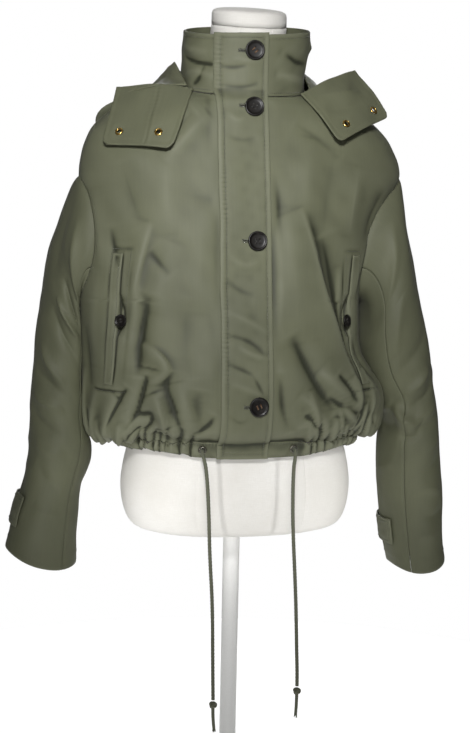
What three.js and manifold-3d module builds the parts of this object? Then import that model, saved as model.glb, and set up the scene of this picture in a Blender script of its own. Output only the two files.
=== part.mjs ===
// Utility jacket, cropped, with a drawstring hem, worn by a limbless dress form on a pole stand.
// Millimetres, +Z up. The origin is the centre of the underside of the stand's round base.
// The jacket's front faces -Y and the wearer's right side is at -X.
import * as THREE from 'three';
import { mergeVertices } from 'three/addons/utils/BufferGeometryUtils.js';
import Module from 'manifold-3d';

const wasm = await Module();
wasm.setup();

// Driving sizes
const wall = 2;                // cloth of the body and sleeves, shell and its turnings together
const doubled = 2.4;           // hood, collar and flaps are cut double
const seamGap = 0.3;           // between two pieces that are sewn together
const facetRoom = 0.8;         // more room over a curved panel, for its flat facets
const hemZ = 574;              // lower edge of the drawstring casing
const casingHeight = 23;
const bodyHemZ = hemZ + casingHeight + seamGap;
const neckZ = 1085;            // neck seam at centre front, before the back is raised
const backRise = 28;           // how much higher the neck seam lies at centre back
const collarHeight = 86;
const formBottomZ = 450;
const gathers = 48;            // small waves round the drawn hem
const gatherDepth = 2.2;
const buttonDiameter = 28;
const cordDiameter = 5.5;

const olive = new THREE.MeshStandardMaterial({ color: 0x686b58, roughness: 0.8, side: THREE.DoubleSide });
const oliveDark = new THREE.MeshStandardMaterial({ color: 0x5d604e, roughness: 0.8 });
const horn = new THREE.MeshStandardMaterial({ color: 0x241f1c, roughness: 0.3 });
const brass = new THREE.MeshStandardMaterial({ color: 0xc9a45c, roughness: 0.3, metalness: 1 });
const gunmetal = new THREE.MeshStandardMaterial({ color: 0x77756c, roughness: 0.35, metalness: 1 });
const linen = new THREE.MeshStandardMaterial({ color: 0xe8e6e0, roughness: 0.9 });
const whitePaint = new THREE.MeshStandardMaterial({ color: 0xf2f2f0, roughness: 0.4 });

const jacket = new THREE.Group();

const radians = (degrees) => degrees * Math.PI / 180;
const mix = (from, to, share) => from + (to - from) * share;
const clamp01 = (value) => Math.min(1, Math.max(0, value));
const smooth = (from, to, value) => {
  const share = clamp01((value - from) / (to - from));
  return share * share * (3 - 2 * share);
};
const vector = (x, y, z) => new THREE.Vector3(x, y, z);
const evenly = (count, from, to) => Array.from({ length: count + 1 }, (_, i) => mix(from, to, i / count));

function addPiece(name, geometry, material) {
  const piece = new THREE.Mesh(geometry, material);
  piece.name = name;
  jacket.add(piece);
  return piece;
}

// Smooth value of one column of a table at a place along its first, rising column
function tableValue(table, column, at) {
  const last = table.length - 1;
  if (at <= table[0][0]) return table[0][column];
  if (at >= table[last][0]) return table[last][column];
  const next = table.findIndex((row) => row[0] > at);
  const [from, to] = [table[next - 1], table[next]];
  const before = table[Math.max(0, next - 2)];
  const after = table[Math.min(last, next + 1)];
  const span = to[0] - from[0];
  const share = (at - from[0]) / span;
  const slopeFrom = (to[column] - before[column]) / (to[0] - before[0]) * span;
  const slopeTo = (after[column] - from[column]) / (after[0] - from[0]) * span;
  const s2 = share * share;
  const s3 = s2 * share;
  return (2 * s3 - 3 * s2 + 1) * from[column] + (s3 - 2 * s2 + share) * slopeFrom
    + (3 * s2 - 2 * s3) * to[column] + (s3 - s2) * slopeTo;
}

// Triangles between two lists of vertex numbers that may differ in length
function stitch(triangles, a, b, flip) {
  let i = 0;
  let j = 0;
  while (i < a.length - 1 || j < b.length - 1) {
    const nextA = (i + 1) / (a.length - 1);
    const nextB = (j + 1) / (b.length - 1);
    const onA = j === b.length - 1 || (i < a.length - 1 && nextA <= nextB);
    const triangle = onA ? [a[i], a[i + 1], b[j]] : [a[i], b[j + 1], b[j]];
    if (flip) triangle.reverse();
    triangles.push(...triangle);
    if (onA) i += 1;
    else j += 1;
  }
}

function signedVolume(positions, triangles) {
  let total = 0;
  const corner = [vector(), vector(), vector()];
  for (let i = 0; i < triangles.length; i += 3) {
    corner.forEach((point, k) => point.fromArray(positions, triangles[i + k] * 3));
    total += corner[0].dot(corner[1].clone().cross(corner[2])) / 6;
  }
  return total;
}

function geometryFrom(positions, triangles) {
  if (signedVolume(positions, triangles) < 0) {
    for (let i = 0; i < triangles.length; i += 3) {
      [triangles[i], triangles[i + 1]] = [triangles[i + 1], triangles[i]];
    }
  }
  const geometry = new THREE.BufferGeometry();
  geometry.setAttribute('position', new THREE.Float32BufferAttribute(positions, 3));
  geometry.setIndex(triangles);
  geometry.computeVertexNormals();
  return geometry;
}

// A cloth wall through rows of { point, normal }: half its thickness lies on each side of the points
function wallGeometry(rows, thickness) {
  const positions = [];
  const layer = (side) => rows.map((row) => row.map(({ point, normal }) => {
    const moved = point.clone().addScaledVector(normal, side * thickness / 2);
    positions.push(moved.x, moved.y, moved.z);
    return positions.length / 3 - 1;
  }));
  const outer = layer(1);
  const inner = layer(-1);
  const triangles = [];
  for (let i = 0; i < rows.length - 1; i += 1) {
    stitch(triangles, outer[i], outer[i + 1], false);
    stitch(triangles, inner[i], inner[i + 1], true);
  }
  const end = rows.length - 1;
  stitch(triangles, inner[0], outer[0], false);
  stitch(triangles, outer[end], inner[end], false);
  const firsts = (layerRows) => layerRows.map((row) => row[0]);
  const lasts = (layerRows) => layerRows.map((row) => row[row.length - 1]);
  stitch(triangles, firsts(outer), firsts(inner), false);
  stitch(triangles, lasts(inner), lasts(outer), false);
  return geometryFrom(positions, triangles);
}

// A solid of closed rings of points with flat lids
function loftGeometry(rings) {
  const positions = [];
  const numbers = rings.map((ring) => {
    const list = ring.map((point) => {
      positions.push(point.x, point.y, point.z);
      return positions.length / 3 - 1;
    });
    return [...list, list[0]];
  });
  const triangles = [];
  for (let i = 0; i < numbers.length - 1; i += 1) stitch(triangles, numbers[i], numbers[i + 1], false);
  [0, numbers.length - 1].forEach((place) => {
    const ring = numbers[place].slice(0, -1);
    const centre = ring.reduce((sum, n) => sum.add(vector(...positions.slice(n * 3, n * 3 + 3))), vector());
    centre.divideScalar(ring.length);
    positions.push(centre.x, centre.y, centre.z);
    const hub = positions.length / 3 - 1;
    ring.forEach((n, k) => {
      const m = ring[(k + 1) % ring.length];
      triangles.push(...(place === 0 ? [n, hub, m] : [n, m, hub]));
    });
  });
  return geometryFrom(positions, triangles);
}

function toSolid(geometry) {
  const bare = geometry.index ? geometry.clone() : geometry.toNonIndexed();
  bare.deleteAttribute('normal');
  bare.deleteAttribute('uv');
  const merged = mergeVertices(bare, 1e-4);
  const vertProperties = new Float32Array(merged.attributes.position.array);
  const triVerts = new Uint32Array(merged.index.array);
  return new wasm.Manifold(new wasm.Mesh({ numProp: 3, vertProperties, triVerts }));
}

// The largest single body of a cut solid, as a geometry
function fromSolid(solid) {
  const bodies = solid.decompose().sort((a, b) => b.volume() - a.volume());
  const mesh = bodies[0].getMesh();
  return geometryFrom(Array.from(mesh.vertProperties), Array.from(mesh.triVerts));
}

// Body of the jacket: one row for each height, with the half widths on the wearer's right and left,
// the depths in front of and behind the middle plane, and the squareness of the section
const bodyTable = [
  // z, right, left, front, back, power
  [hemZ, 171, 177, 125, 125, 2.2],
  [598, 180, 183, 129, 131, 2.2],
  [606, 206, 204, 139, 142, 2.3],
  [616, 219, 213, 145, 148, 2.4],
  [632, 226, 219, 149, 151, 2.4],
  [655, 229, 220, 150, 152, 2.4],
  [685, 231, 206, 149, 151, 2.4],
  [720, 233, 186, 144, 149, 2.4],
  [780, 236, 182, 134, 144, 2.4],
  [840, 237, 186, 124, 138, 2.4],
  [900, 235, 203, 116, 132, 2.4],
  [940, 235, 222, 109, 129, 2.35],
  [970, 236, 243, 103, 125, 2.3],
  [990, 234, 243, 99, 121, 2.25],
  [1010, 228, 234, 95, 116, 2.2],
  [1030, 216, 220, 91, 110, 2.2],
  [1050, 191, 195, 87, 104, 2.2],
  [1066, 155, 159, 83, 98, 2.2],
  [1078, 116, 120, 80, 94, 2.2],
  [neckZ, 89, 93, 77, 90, 2.2],
];

// Largest folds, as ridges (+) or hollows (-) from one place to another on the body
const bodyFolds = [
  // angle and z of the start, angle and z of the end, height, half width
  [24, 868, 40, 690, 7, 30],       // long fold on the left front, beside the pocket
  [46, 840, 50, 720, -6, 30],      // the pocket side of that fold falls back
  [30, 690, 60, 660, 8, 28],       // it swells over the hem
  [-33, 880, -40, 770, 5, 24],     // pull from the right chest to the pocket
  [-28, 850, -34, 740, -4, 26],
  [-35, 700, -24, 640, 6, 26],
  [-60, 660, -50, 625, 6, 24],
  [10, 700, 16, 640, -4, 30],
  [35, 1000, 24, 900, 4, 30],      // soft vertical folds under the hood flaps
  [-30, 1000, -38, 900, 4, 30],
  [150, 930, 160, 700, 5, 40],     // back, beside the middle
  [-150, 940, -156, 690, 5, 40],
  [180, 900, 178, 720, -4, 46],
  [125, 720, 132, 640, 6, 30],
  [-125, 720, -135, 635, 6, 30],
  [168, 690, 172, 630, 5, 28],
  [-168, 690, -172, 632, 5, 26],
];

const angleGap = (a, b) => ((a - b + 540) % 360) - 180;

function foldOffset(angle, z) {
  let total = 0;
  bodyFolds.forEach(([startAngle, startZ, endAngle, endZ, height, halfWidth]) => {
    const share = (z - startZ) / (endZ - startZ);
    const reach = smooth(-0.25, 0.2, share) * smooth(1.25, 0.8, share);
    const across = radians(angleGap(angle, mix(startAngle, endAngle, clamp01(share)))) * 160 / halfWidth;
    total += height * reach * Math.exp(-across * across);
  });
  return total;
}

// The cord draws the hem in everywhere but at the closed front and beside the eyelets
function gatherOffset(angle, z) {
  const fromFront = Math.abs(angleGap(angle, -4));
  const drawn = smooth(24, 34, fromFront);
  const fade = smooth(bodyHemZ + 30, bodyHemZ + 6, z);
  return gatherDepth * drawn * fade * Math.sin(radians(angle) * gathers);
}

function bodyBase(angle, z) {
  const turn = radians(angle);
  const [sine, cosine] = [Math.sin(turn), Math.cos(turn)];
  const power = 2 / tableValue(bodyTable, 5, z);
  const half = tableValue(bodyTable, sine < 0 ? 1 : 2, z);
  const depth = tableValue(bodyTable, cosine > 0 ? 3 : 4, z);
  const x = half * Math.sign(sine) * Math.abs(sine) ** power;
  const y = -depth * Math.sign(cosine) * Math.abs(cosine) ** power;
  const rise = backRise * smooth(960, neckZ, z) * (y + 77) / 167;
  return vector(x, y, z + rise);
}

function bodyNormal(angle, z) {
  const along = bodyBase(angle + 1.5, z).sub(bodyBase(angle - 1.5, z));
  const up = bodyBase(angle, z + 3).sub(bodyBase(angle, z - 3));
  return along.cross(up).normalize();
}

// A point of the body's cloth, with its outward direction; lift moves it outwards
function bodyPoint(angle, z, lift = 0) {
  const normal = bodyNormal(angle, z);
  const shift = foldOffset(angle, z) + gatherOffset(angle, z) + lift;
  return { point: bodyBase(angle, z).addScaledVector(normal, shift), normal };
}

// Armholes: an oval in angle and height on each side
const armhole = { bottom: 795, top: 968, leftRise: 8, steps: 6 };
const armholeReach = { front: 24, back: 24 };

function armholeEdge(side, half, share) {
  const top = armhole.top + (side > 0 ? armhole.leftRise : 0);
  const z = mix(armhole.bottom, top, (1 + Math.cos(share * Math.PI)) / 2);
  const spread = Math.sin(share * Math.PI) * (half === 'front' ? armholeReach.front : armholeReach.back);
  return { z, angle: half === 'front' ? side * (90 - spread) : side * (90 + spread) };
}

// Heights of the grid's rows: fine at the hem and the shoulders, and matched to the armhole between
function bodyRows(side) {
  const lower = [632, 660, 692, 726, 762];
  const upper = [992, 1016, 1038, 1058, 1073, neckZ];
  const hole = evenly(armhole.steps, 1, 0).map((share) => armholeEdge(side, 'front', share).z);
  return [...lower, ...hole, ...upper];
}

const bodyColumns = 10;        // across a quarter of the body
const gatherColumns = gathers;

function panelRow(side, half, z) {
  const rowTop = armhole.top + (side > 0 ? armhole.leftRise : 0);
  const middle = (armhole.bottom + rowTop) / 2;
  const reach = half === 'front' ? armholeReach.front : armholeReach.back;
  const height = Math.min(1, Math.abs(z - middle) / ((rowTop - armhole.bottom) / 2));
  const spread = reach * Math.sqrt(1 - height * height);
  return evenly(bodyColumns, 0, 1).map((share) => {
    const fromMiddle = 90 * share - spread * share ** 3;
    return bodyPoint(side * (half === 'front' ? fromMiddle : 180 - fromMiddle), z);
  });
}

function gatheredRow(side, half, z) {
  const start = half === 'front' ? 0 : 180;
  return evenly(gatherColumns, start, 90).map((angle) => bodyPoint(side * angle, z));
}

// Moves the row's ends apart at the side seam and the centre front
function partSeams(row, side, half) {
  const shift = seamGap / 2;
  const last = row[row.length - 1];
  last.point.y += half === 'front' ? -shift : shift;
  if (half === 'front') row[0].point.x += side * shift;
  return row;
}

function frontPanel(side) {
  const rows = [bodyHemZ, bodyHemZ + 11].map((z) => gatheredRow(side, 'front', z));
  rows.push(...bodyRows(side).map((z) => panelRow(side, 'front', z)));
  return wallGeometry(rows.map((row) => partSeams(row, side, 'front')), wall);
}

// The back is one panel from side seam to side seam, so its two halves share the middle column
function backPanel() {
  const joined = (makeRow) => {
    const right = partSeams(makeRow(-1), -1, 'back').reverse();
    const left = partSeams(makeRow(1), 1, 'back');
    return [...right, ...left.slice(1)];
  };
  const rows = [bodyHemZ, bodyHemZ + 11].map((z) => joined((side) => gatheredRow(side, 'back', z)));
  const [rightRows, leftRows] = [bodyRows(-1), bodyRows(1)];
  rightRows.forEach((z, i) => {
    const heights = { '-1': z, 1: leftRows[i] };
    rows.push(joined((side) => {
      const row = panelRow(side, 'back', heights[side]);
      // near the middle the two sides' heights run together
      const middleZ = (z + leftRows[i]) / 2;
      row.slice(0, 5).forEach((entry, k) => {
        const angle = side * mix(180, 90, k / bodyColumns);
        Object.assign(entry, bodyPoint(angle, mix(middleZ, heights[side], k / 5)));
      });
      return row;
    }));
  });
  return wallGeometry(rows, wall);
}

addPiece('front_right', frontPanel(-1), olive);
addPiece('front_left', frontPanel(1), olive);
addPiece('back', backPanel(), olive);

// Drawstring casing: a band round the hem, open at the centre front
function hemCasing() {
  const angles = evenly(gathers * 4, 0.08, 359.92);
  const rows = [hemZ, hemZ + casingHeight].map((z) => angles.map((angle) => {
    const { point, normal } = bodyPoint(angle, z);
    const drawnUp = 7 * Math.exp(-(((Math.abs(angleGap(angle, 0)) - 55) / 22) ** 2));
    if (z === hemZ) point.z += drawnUp;
    return { point, normal };
  }));
  return wallGeometry(rows, wall);
}
addPiece('hem_casing', hemCasing(), oliveDark);

// Collar: a stand-up ring from the neck seam, open at the centre front
const collarTable = [
  // height above the seam, half width, front depth, back depth, lean to the wearer's left
  [0.8, 89, 76, 88.5, 2],
  [30, 90, 75, 88, 4],
  [58, 92, 75, 88, 6],
  [collarHeight, 91, 76, 86, 8],
];
const collarTilt = 0.05;       // its top edge is higher on the wearer's left

function collarPoint(angle, height, lift = 0) {
  const turn = radians(angle);
  const [sine, cosine] = [Math.sin(turn), Math.cos(turn)];
  const half = tableValue(collarTable, 1, height) + lift;
  const depth = tableValue(collarTable, cosine > 0 ? 2 : 3, height) + lift;
  const x = tableValue(collarTable, 4, height) + half * Math.sign(sine) * Math.abs(sine) ** 0.91;
  const y = -depth * Math.sign(cosine) * Math.abs(cosine) ** 0.91;
  const share = height / collarHeight;
  const z = neckZ + height + backRise * (y + 77) / 167 + collarTilt * share * x;
  return { point: vector(x, y, z), normal: vector(sine / half, -cosine / depth, 0).normalize() };
}

function collar() {
  const rows = evenly(4, 0.8, collarHeight).map((height) => (
    evenly(32, 0.12, 359.88).map((angle) => collarPoint(angle, height))));
  return wallGeometry(rows, doubled);
}
addPiece('collar', collar(), olive);

// Storm flap: a straight band over the front opening, from the hem to the top of the collar
const flap = { right: -53, left: 21, thickness: 2.4, lift: 3.3, columns: 4, overlap: 3 };

// The angle at which the body or the collar has a given x
function angleAtX(x, place) {
  let [low, high] = [-60, 60];
  for (let i = 0; i < 30; i += 1) {
    const middle = (low + high) / 2;
    if (place(middle).point.x < x) low = middle;
    else high = middle;
  }
  return (low + high) / 2;
}

function flapRow(place) {
  return evenly(flap.columns, flap.right, flap.left).map((x) => place(angleAtX(x, place)));
}

function stormFlap() {
  const bodyHeights = [hemZ - 1, bodyHemZ, bodyHemZ + 11, ...bodyRows(-1).slice(0, -1), neckZ - 4];
  const collarHeights = [14, 36, 60, collarHeight + flap.overlap];
  const rows = bodyHeights.map((z) => flapRow((angle) => bodyPoint(angle, z, flap.lift)));
  rows.push(...collarHeights.map((height) => flapRow((angle) => collarPoint(angle, height, flap.lift))));
  return wallGeometry(rows, flap.thickness);
}
addPiece('storm_flap', stormFlap(), olive);

// Pushes a point out of the body until it clears the cloth by a distance
function pushOut(point, clearance) {
  const rise = backRise * smooth(960, neckZ, point.z) * (point.y + 77) / 167;
  const z = Math.min(neckZ, point.z - rise);
  const power = tableValue(bodyTable, 5, z);
  const half = tableValue(bodyTable, point.x < 0 ? 1 : 2, z);
  const depth = tableValue(bodyTable, point.y < 0 ? 3 : 4, z);
  const across = (Math.abs(point.x) / half) ** (power / 2);
  const along = (Math.abs(point.y) / depth) ** (power / 2);
  let angle = Math.atan2(across, along) * 180 / Math.PI;
  if (point.y > 0) angle = 180 - angle;
  if (point.x < 0) angle = -angle;
  const skin = bodyPoint(angle, z).point;
  const [reach, limit] = [Math.hypot(point.x, point.y), Math.hypot(skin.x, skin.y) + clearance];
  if (reach < limit) {
    point.x *= limit / reach;
    point.y *= limit / reach;
  }
  return point;
}

// Sleeves: one row for each ring from the armhole to the cuff, with its outer and inner points,
// the place of its middle from front to back and its half depth
const sleeveTables = {
  '-1': [
    // share, outer x, outer z, inner x, inner z, middle y, half depth
    [0.00, 238, 966, 236, 800, 12, 66],
    [0.06, 247, 944, 240, 788, 14, 66],
    [0.14, 262, 903, 241, 762, 18, 66],
    [0.26, 277, 845, 238, 718, 24, 64],
    [0.40, 288, 770, 234, 664, 29, 62],
    [0.54, 297, 690, 229, 618, 32, 60],
    [0.68, 301, 616, 216, 560, 32, 58],
    [0.80, 306, 545, 229, 510, 28, 55],
    [0.90, 324, 478, 234, 455, 24, 54],
    [1.00, 339, 421, 235, 398, 20, 52],
  ],
  1: [
    [0.00, 247, 974, 205, 800, 6, 66],
    [0.06, 253, 950, 202, 786, 4, 66],
    [0.14, 258, 905, 198, 756, 0, 66],
    [0.26, 272, 838, 196, 712, -4, 64],
    [0.40, 290, 752, 204, 668, -6, 62],
    [0.54, 305, 672, 232, 622, -8, 60],
    [0.68, 318, 592, 229, 556, -8, 58],
    [0.80, 326, 512, 232, 494, -8, 55],
    [0.90, 330, 452, 240, 437, -8, 53],
    [1.00, 337, 391, 251, 384, -8, 50],
  ],
};
const sleeveSteps = 13;        // rings from armhole to cuff
const sleeveSides = 16;        // round a ring, split into an outer and an inner half
const sleeveSeamShift = 0.9;   // each half stops this far from the seam, where the sleeve bends sharply
const cuffRise = 12;           // the cuff's edge is a little higher at its sides than in front

const sleeveFolds = [
  // side, share along the sleeve, angle round it, height, half length in shares, half width in degrees
  [1, 0.66, 60, -6, 0.05, 50],
  [1, 0.60, 70, 5, 0.05, 50],
  [1, 0.80, 110, 4, 0.07, 40],
  [-1, 0.30, 120, -6, 0.05, 45],
  [-1, 0.62, 70, 5, 0.06, 50],
  [-1, 0.70, 60, -5, 0.05, 50],
  [-1, 0.86, 40, 4, 0.06, 40],
  [1, 0.62, 250, -5, 0.05, 50],
  [-1, 0.64, 250, -5, 0.05, 50],
];

// turn 0 is the outer side, 90 the front, 180 the inner side and 270 the back
function sleeveBase(side, share, turn, lift = 0) {
  const table = sleeveTables[side];
  const [outerX, outerZ, innerX, innerZ, middleY, half] = [1, 2, 3, 4, 5, 6].map((c) => (
    tableValue(table, c, share)));
  const outer = vector(side * outerX, middleY, outerZ);
  const inner = vector(side * innerX, middleY, innerZ);
  const centre = outer.clone().add(inner).divideScalar(2);
  const arm = outer.clone().sub(inner).divideScalar(2);
  const [cosine, sine] = [Math.cos(radians(turn)), Math.sin(radians(turn))];
  const armLength = arm.length();
  arm.normalize();
  let offset = lift;
  sleeveFolds.forEach(([foldSide, foldShare, foldTurn, height, halfLength, halfTurn]) => {
    if (foldSide !== side) return;
    const along = (share - foldShare) / halfLength;
    const around = angleGap(turn, foldTurn) / halfTurn;
    offset += height * Math.exp(-along * along - around * around);
  });
  const round = (value) => Math.sign(value) * Math.abs(value) ** 0.9;
  const point = centre.addScaledVector(arm, (armLength + offset) * round(cosine));
  point.y -= (half + offset) * round(sine);
  const cuffShare = smooth(0.9, 1, share);
  point.z -= cuffRise * cuffShare * Math.abs(sine) ** 2;
  // the first rings turn into the armhole's oval
  const blend = smooth(0.16, 0, share);
  if (blend > 0) {
    const frontHalf = sine >= 0;
    const fullTurn = ((turn % 360) + 360) % 360;
    const ringShare = frontHalf ? fullTurn / 180 : (360 - fullTurn) / 180;
    const edge = armholeEdge(side, frontHalf ? 'front' : 'back', ringShare);
    const rim = bodyPoint(edge.angle, edge.z, mix(-4, 14, share / 0.16) + lift).point;
    point.lerp(rim, blend);
  }
  return point;
}

// Distance that the sleeve keeps from the body: it starts inside the armhole's edge
const sleeveClearance = (share) => mix(-4, 6, smooth(0, 0.05, share));

function sleevePoint(side, share, turn, lift = 0) {
  const around = sleeveBase(side, share, turn + 8, lift).sub(sleeveBase(side, share, turn - 8, lift));
  const from = Math.max(0, share - 0.02);
  const to = Math.min(1, share + 0.02);
  const along = sleeveBase(side, to, turn, lift).sub(sleeveBase(side, from, turn, lift));
  const normal = along.cross(around).multiplyScalar(side).normalize();
  return { point: pushOut(sleeveBase(side, share, turn, lift), sleeveClearance(share) + lift), normal };
}

// The whole body's outline as one solid, a little larger than the cloth, that trims the sleeves
function bodyEnvelope(margin) {
  const heights = [700, ...bodyRows(1), neckZ + 6];
  const rings = heights.map((z) => (
    evenly(47, 0, 352.5).map((angle) => bodyPoint(angle, Math.min(z, neckZ), margin).point)));
  rings[rings.length - 1].forEach((point) => { point.z += 6; });
  return toSolid(loftGeometry(rings));
}
const trimmer = bodyEnvelope(wall / 2 + seamGap + facetRoom);

function sleevePanel(side, fromTurn, toTurn) {
  const rows = evenly(sleeveSteps, 0, 1).map((step) => {
    const share = step ** 1.15;
    const row = evenly(sleeveSides / 2, fromTurn, toTurn).map((turn) => sleevePoint(side, share, turn));
    const [first, second] = [row[0], row[1]];
    const [last, previous] = [row[row.length - 1], row[row.length - 2]];
    first.point.addScaledVector(second.point.clone().sub(first.point).normalize(), sleeveSeamShift);
    last.point.addScaledVector(previous.point.clone().sub(last.point).normalize(), sleeveSeamShift);
    return row;
  });
  return fromSolid(toSolid(wallGeometry(rows, wall)).subtract(trimmer));
}

// The front and the back seam of a two-piece sleeve lie towards its inner side
const sleeveSeams = { front: 118, back: 242 };
[[-1, 'right'], [1, 'left']].forEach(([side, name]) => {
  addPiece(`sleeve_${name}_outer`, sleevePanel(side, sleeveSeams.back - 360, sleeveSeams.front), olive);
  addPiece(`sleeve_${name}_inner`, sleevePanel(side, sleeveSeams.front, sleeveSeams.back), olive);
});

// Cuff straps: a short strap on each cuff. The right one runs from the outer side over the back,
// and the left arm hangs turned, so its strap runs from the back over the inner side
const strapTurns = { '-1': [30, -110], 1: [290, 150] };

function cuffStrap(side) {
  const rows = [0.865, 0.9, 0.935].map((share) => (
    evenly(6, ...strapTurns[side]).map((turn) => sleevePoint(side, share, turn, 3.8))));
  return wallGeometry(rows, doubled);
}
addPiece('cuff_strap_right', cuffStrap(-1), olive);
addPiece('cuff_strap_left', cuffStrap(1), olive);

// Pocket welts: upright strips on the fronts, with a button behind each
const pocket = { bottom: 676, top: 862, width: 20, topAngle: 56, bottomAngle: 63 };

function pocketAngle(z) {
  return mix(pocket.bottomAngle, pocket.topAngle, (z - pocket.bottom) / (pocket.top - pocket.bottom));
}

function pocketWelt(side) {
  const rows = evenly(6, pocket.bottom, pocket.top).map((z) => {
    const widthAngle = pocket.width / 210 * 180 / Math.PI;
    return evenly(1, 0, widthAngle).map((extra) => bodyPoint(side * (pocketAngle(z) - extra), z, 3.6));
  });
  return wallGeometry(rows, doubled);
}
addPiece('pocket_welt_right', pocketWelt(-1), olive);
addPiece('pocket_welt_left', pocketWelt(1), olive);

// Buttons: dished, with a raised rim and four holes; the flat back faces the cloth
function buttonGeometry(diameter, sides) {
  const radius = diameter / 2;
  const back = [[0, 0], [radius * 0.8, 0], [radius, 1.6]];
  const profile = [...back, [radius * 0.9, 3.6], [radius * 0.68, 2.4], [0, 2.2]];
  const lathe = new THREE.LatheGeometry(profile.map(([r, h]) => new THREE.Vector2(r, h)), sides);
  let solid = toSolid(lathe);
  const hole = new THREE.CylinderGeometry(diameter * 0.04, diameter * 0.04, 10, 5);
  [[1, 1], [1, -1], [-1, 1], [-1, -1]].forEach(([i, j]) => {
    const drill = hole.clone().translate(i * diameter * 0.09, 1, j * diameter * 0.09);
    solid = solid.subtract(toSolid(drill));
  });
  return fromSolid(solid);
}

// Seats a turned piece on a surface point: its own +Y axis points outwards
function seat(mesh, { point, normal }, gap) {
  mesh.quaternion.setFromUnitVectors(vector(0, 1, 0), normal);
  mesh.position.copy(point).addScaledVector(normal, gap);
  return mesh;
}

const flapFace = flap.lift + flap.thickness / 2;
const largeButton = buttonGeometry(buttonDiameter, 16);
const buttonPlaces = [
  collarPoint(angleAtX(1, (angle) => collarPoint(angle, 64)), 64, flapFace),
  bodyPoint(0, 1070, flapFace),
  bodyPoint(0, 882, flapFace),
  bodyPoint(0, 652, flapFace),
];
buttonPlaces.forEach((place, i) => {
  seat(addPiece(`button_${i + 1}`, largeButton, horn), place, 0.7);
});

const smallButton = buttonGeometry(18, 12);
const pocketButtonGap = { right: 0.3, left: 1.5 };   // the left front is hollow under the button
[[-1, 'right'], [1, 'left']].forEach(([side, name]) => {
  const z = 768;
  const place = bodyPoint(side * (pocketAngle(z) - 10.5), z, wall / 2);
  seat(addPiece(`pocket_button_${name}`, smallButton, horn), place, pocketButtonGap[name]);
});

// Hood flaps: the hood's front corners, folded down over the chest, one on each side
const hoodFlaps = {
  // swell: how far the flap's inner edge curves over the chest
  right: {
    swell: 17,
    neck: vector(-79.5, -44.5, 1096),
    shoulder: vector(-184, -2, 1096),
    lowOutside: vector(-212, -58, 1012),
    lowInside: vector(-120, -104, 1008),
  },
  left: {
    swell: 4,
    neck: vector(75.5, -54.1, 1092.5),
    shoulder: vector(173, -2, 1133),
    lowOutside: vector(214, -46, 1064),
    lowInside: vector(121, -106, 1023),
  },
};

function hoodFlapPoint(flapShape, across, down) {
  const top = flapShape.neck.clone().lerp(flapShape.shoulder, across);
  const bottom = flapShape.lowInside.clone().lerp(flapShape.lowOutside, across);
  const point = top.lerp(bottom, down);
  const swell = mix(flapShape.swell, hoodFlapCrown / 2, clamp01(across * 2));
  const crown = hoodFlapCrown * Math.sin(Math.PI * across) * (1 - down * 0.5);
  const bulge = crown + swell * Math.sin(Math.PI * down);
  point.y -= bulge * 0.7;
  point.z += bulge * 0.4;
  return point;
}

function hoodFlapPlace(flapShape, across, down) {
  const step = 0.05;
  const place = (i, j) => hoodFlapPoint(flapShape, across + i * step, down + j * step);
  const normal = place(1, 0).sub(place(-1, 0)).cross(place(0, 1).sub(place(0, -1))).normalize();
  if (normal.y > 0) normal.negate();
  return { point: place(0, 0), normal };
}

function hoodFlapGeometry(flapShape, thickness, margin) {
  const rows = evenly(5, -margin, 1 + margin).map((down) => (
    evenly(6, -margin, 1 + margin).map((across) => hoodFlapPlace(flapShape, across, down))));
  return wallGeometry(rows, thickness);
}

const hoodFlapCrown = 10;
const eyeletPlaces = [[0.8, 0.8], [0.26, 0.8]];     // share across and share down a flap

function ringGeometry(outer, inner, height, sides) {
  const profile = [[inner, 0], [outer, 0], [outer * 0.92, height * 0.8], [inner * 1.15, height], [inner, 0]];
  return new THREE.LatheGeometry(profile.map(([r, h]) => new THREE.Vector2(r, h)), sides);
}

const hoodEyelet = ringGeometry(6, 3, 1.4, 12);
const hoodTrimmers = [trimmer];      // what the hood's edges stop against
Object.entries(hoodFlaps).forEach(([name, flapShape], index) => {
  addPiece(`hood_flap_${name}`, hoodFlapGeometry(flapShape, doubled, 0), olive);
  hoodTrimmers.push(toSolid(hoodFlapGeometry(flapShape, doubled + 3 * seamGap, 0.01)));
  eyeletPlaces.forEach(([across, down], i) => {
    const eyelet = addPiece(`hood_eyelet_${index * 2 + i + 1}`, hoodEyelet, brass);
    seat(eyelet, hoodFlapPlace(flapShape, across, down), doubled / 2 + 0.5);
  });
});

// Hood: thrown back, a pouch that rises from the neck seam, rolls over and hangs down the back.
// Each row gives one line of the pouch from the centre back (share 0) to the shoulder (share 1).
const hoodLines = {
  // share, half width, y, z
  mouth: [[0, 0, 150, 1122], [0.4, 76, 112, 1134], [0.75, 93, 36, 1138], [1, 90, -38, 1100]],
  bulge: [[0, 0, 208, 975], [0.35, 100, 194, 1000], [0.7, 146, 122, 1070], [1, 150, -36, 1096]],
  fold: [[0, 0, 176, 846], [0.35, 104, 166, 872], [0.7, 172, 108, 990], [1, 184, -10, 1084]],
  inner: [[0, 0, 136, 960], [0.35, 90, 134, 980], [0.7, 148, 92, 1054], [1, 164, 24, 1078]],
  neck: [[0, 0, 97, 1104], [0.35, 58, 84, 1104], [0.7, 94, 44, 1096], [1, 106, 8, 1088]],
};
const hoodOrder = ['mouth', 'bulge', 'fold', 'inner', 'neck'];

// Raises a point until it lies clear above the shoulders
function clearAbove(point, clearance) {
  for (let i = 0; i < 60; i += 1) {
    const lower = point.clone();
    lower.z -= clearance;
    const before = Math.hypot(lower.x, lower.y);
    pushOut(lower, clearance * 0.6);
    if (lower.z > neckZ + backRise || Math.hypot(lower.x, lower.y) <= before + 1e-6) break;
    point.z += 1;
  }
  return point;
}

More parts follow.
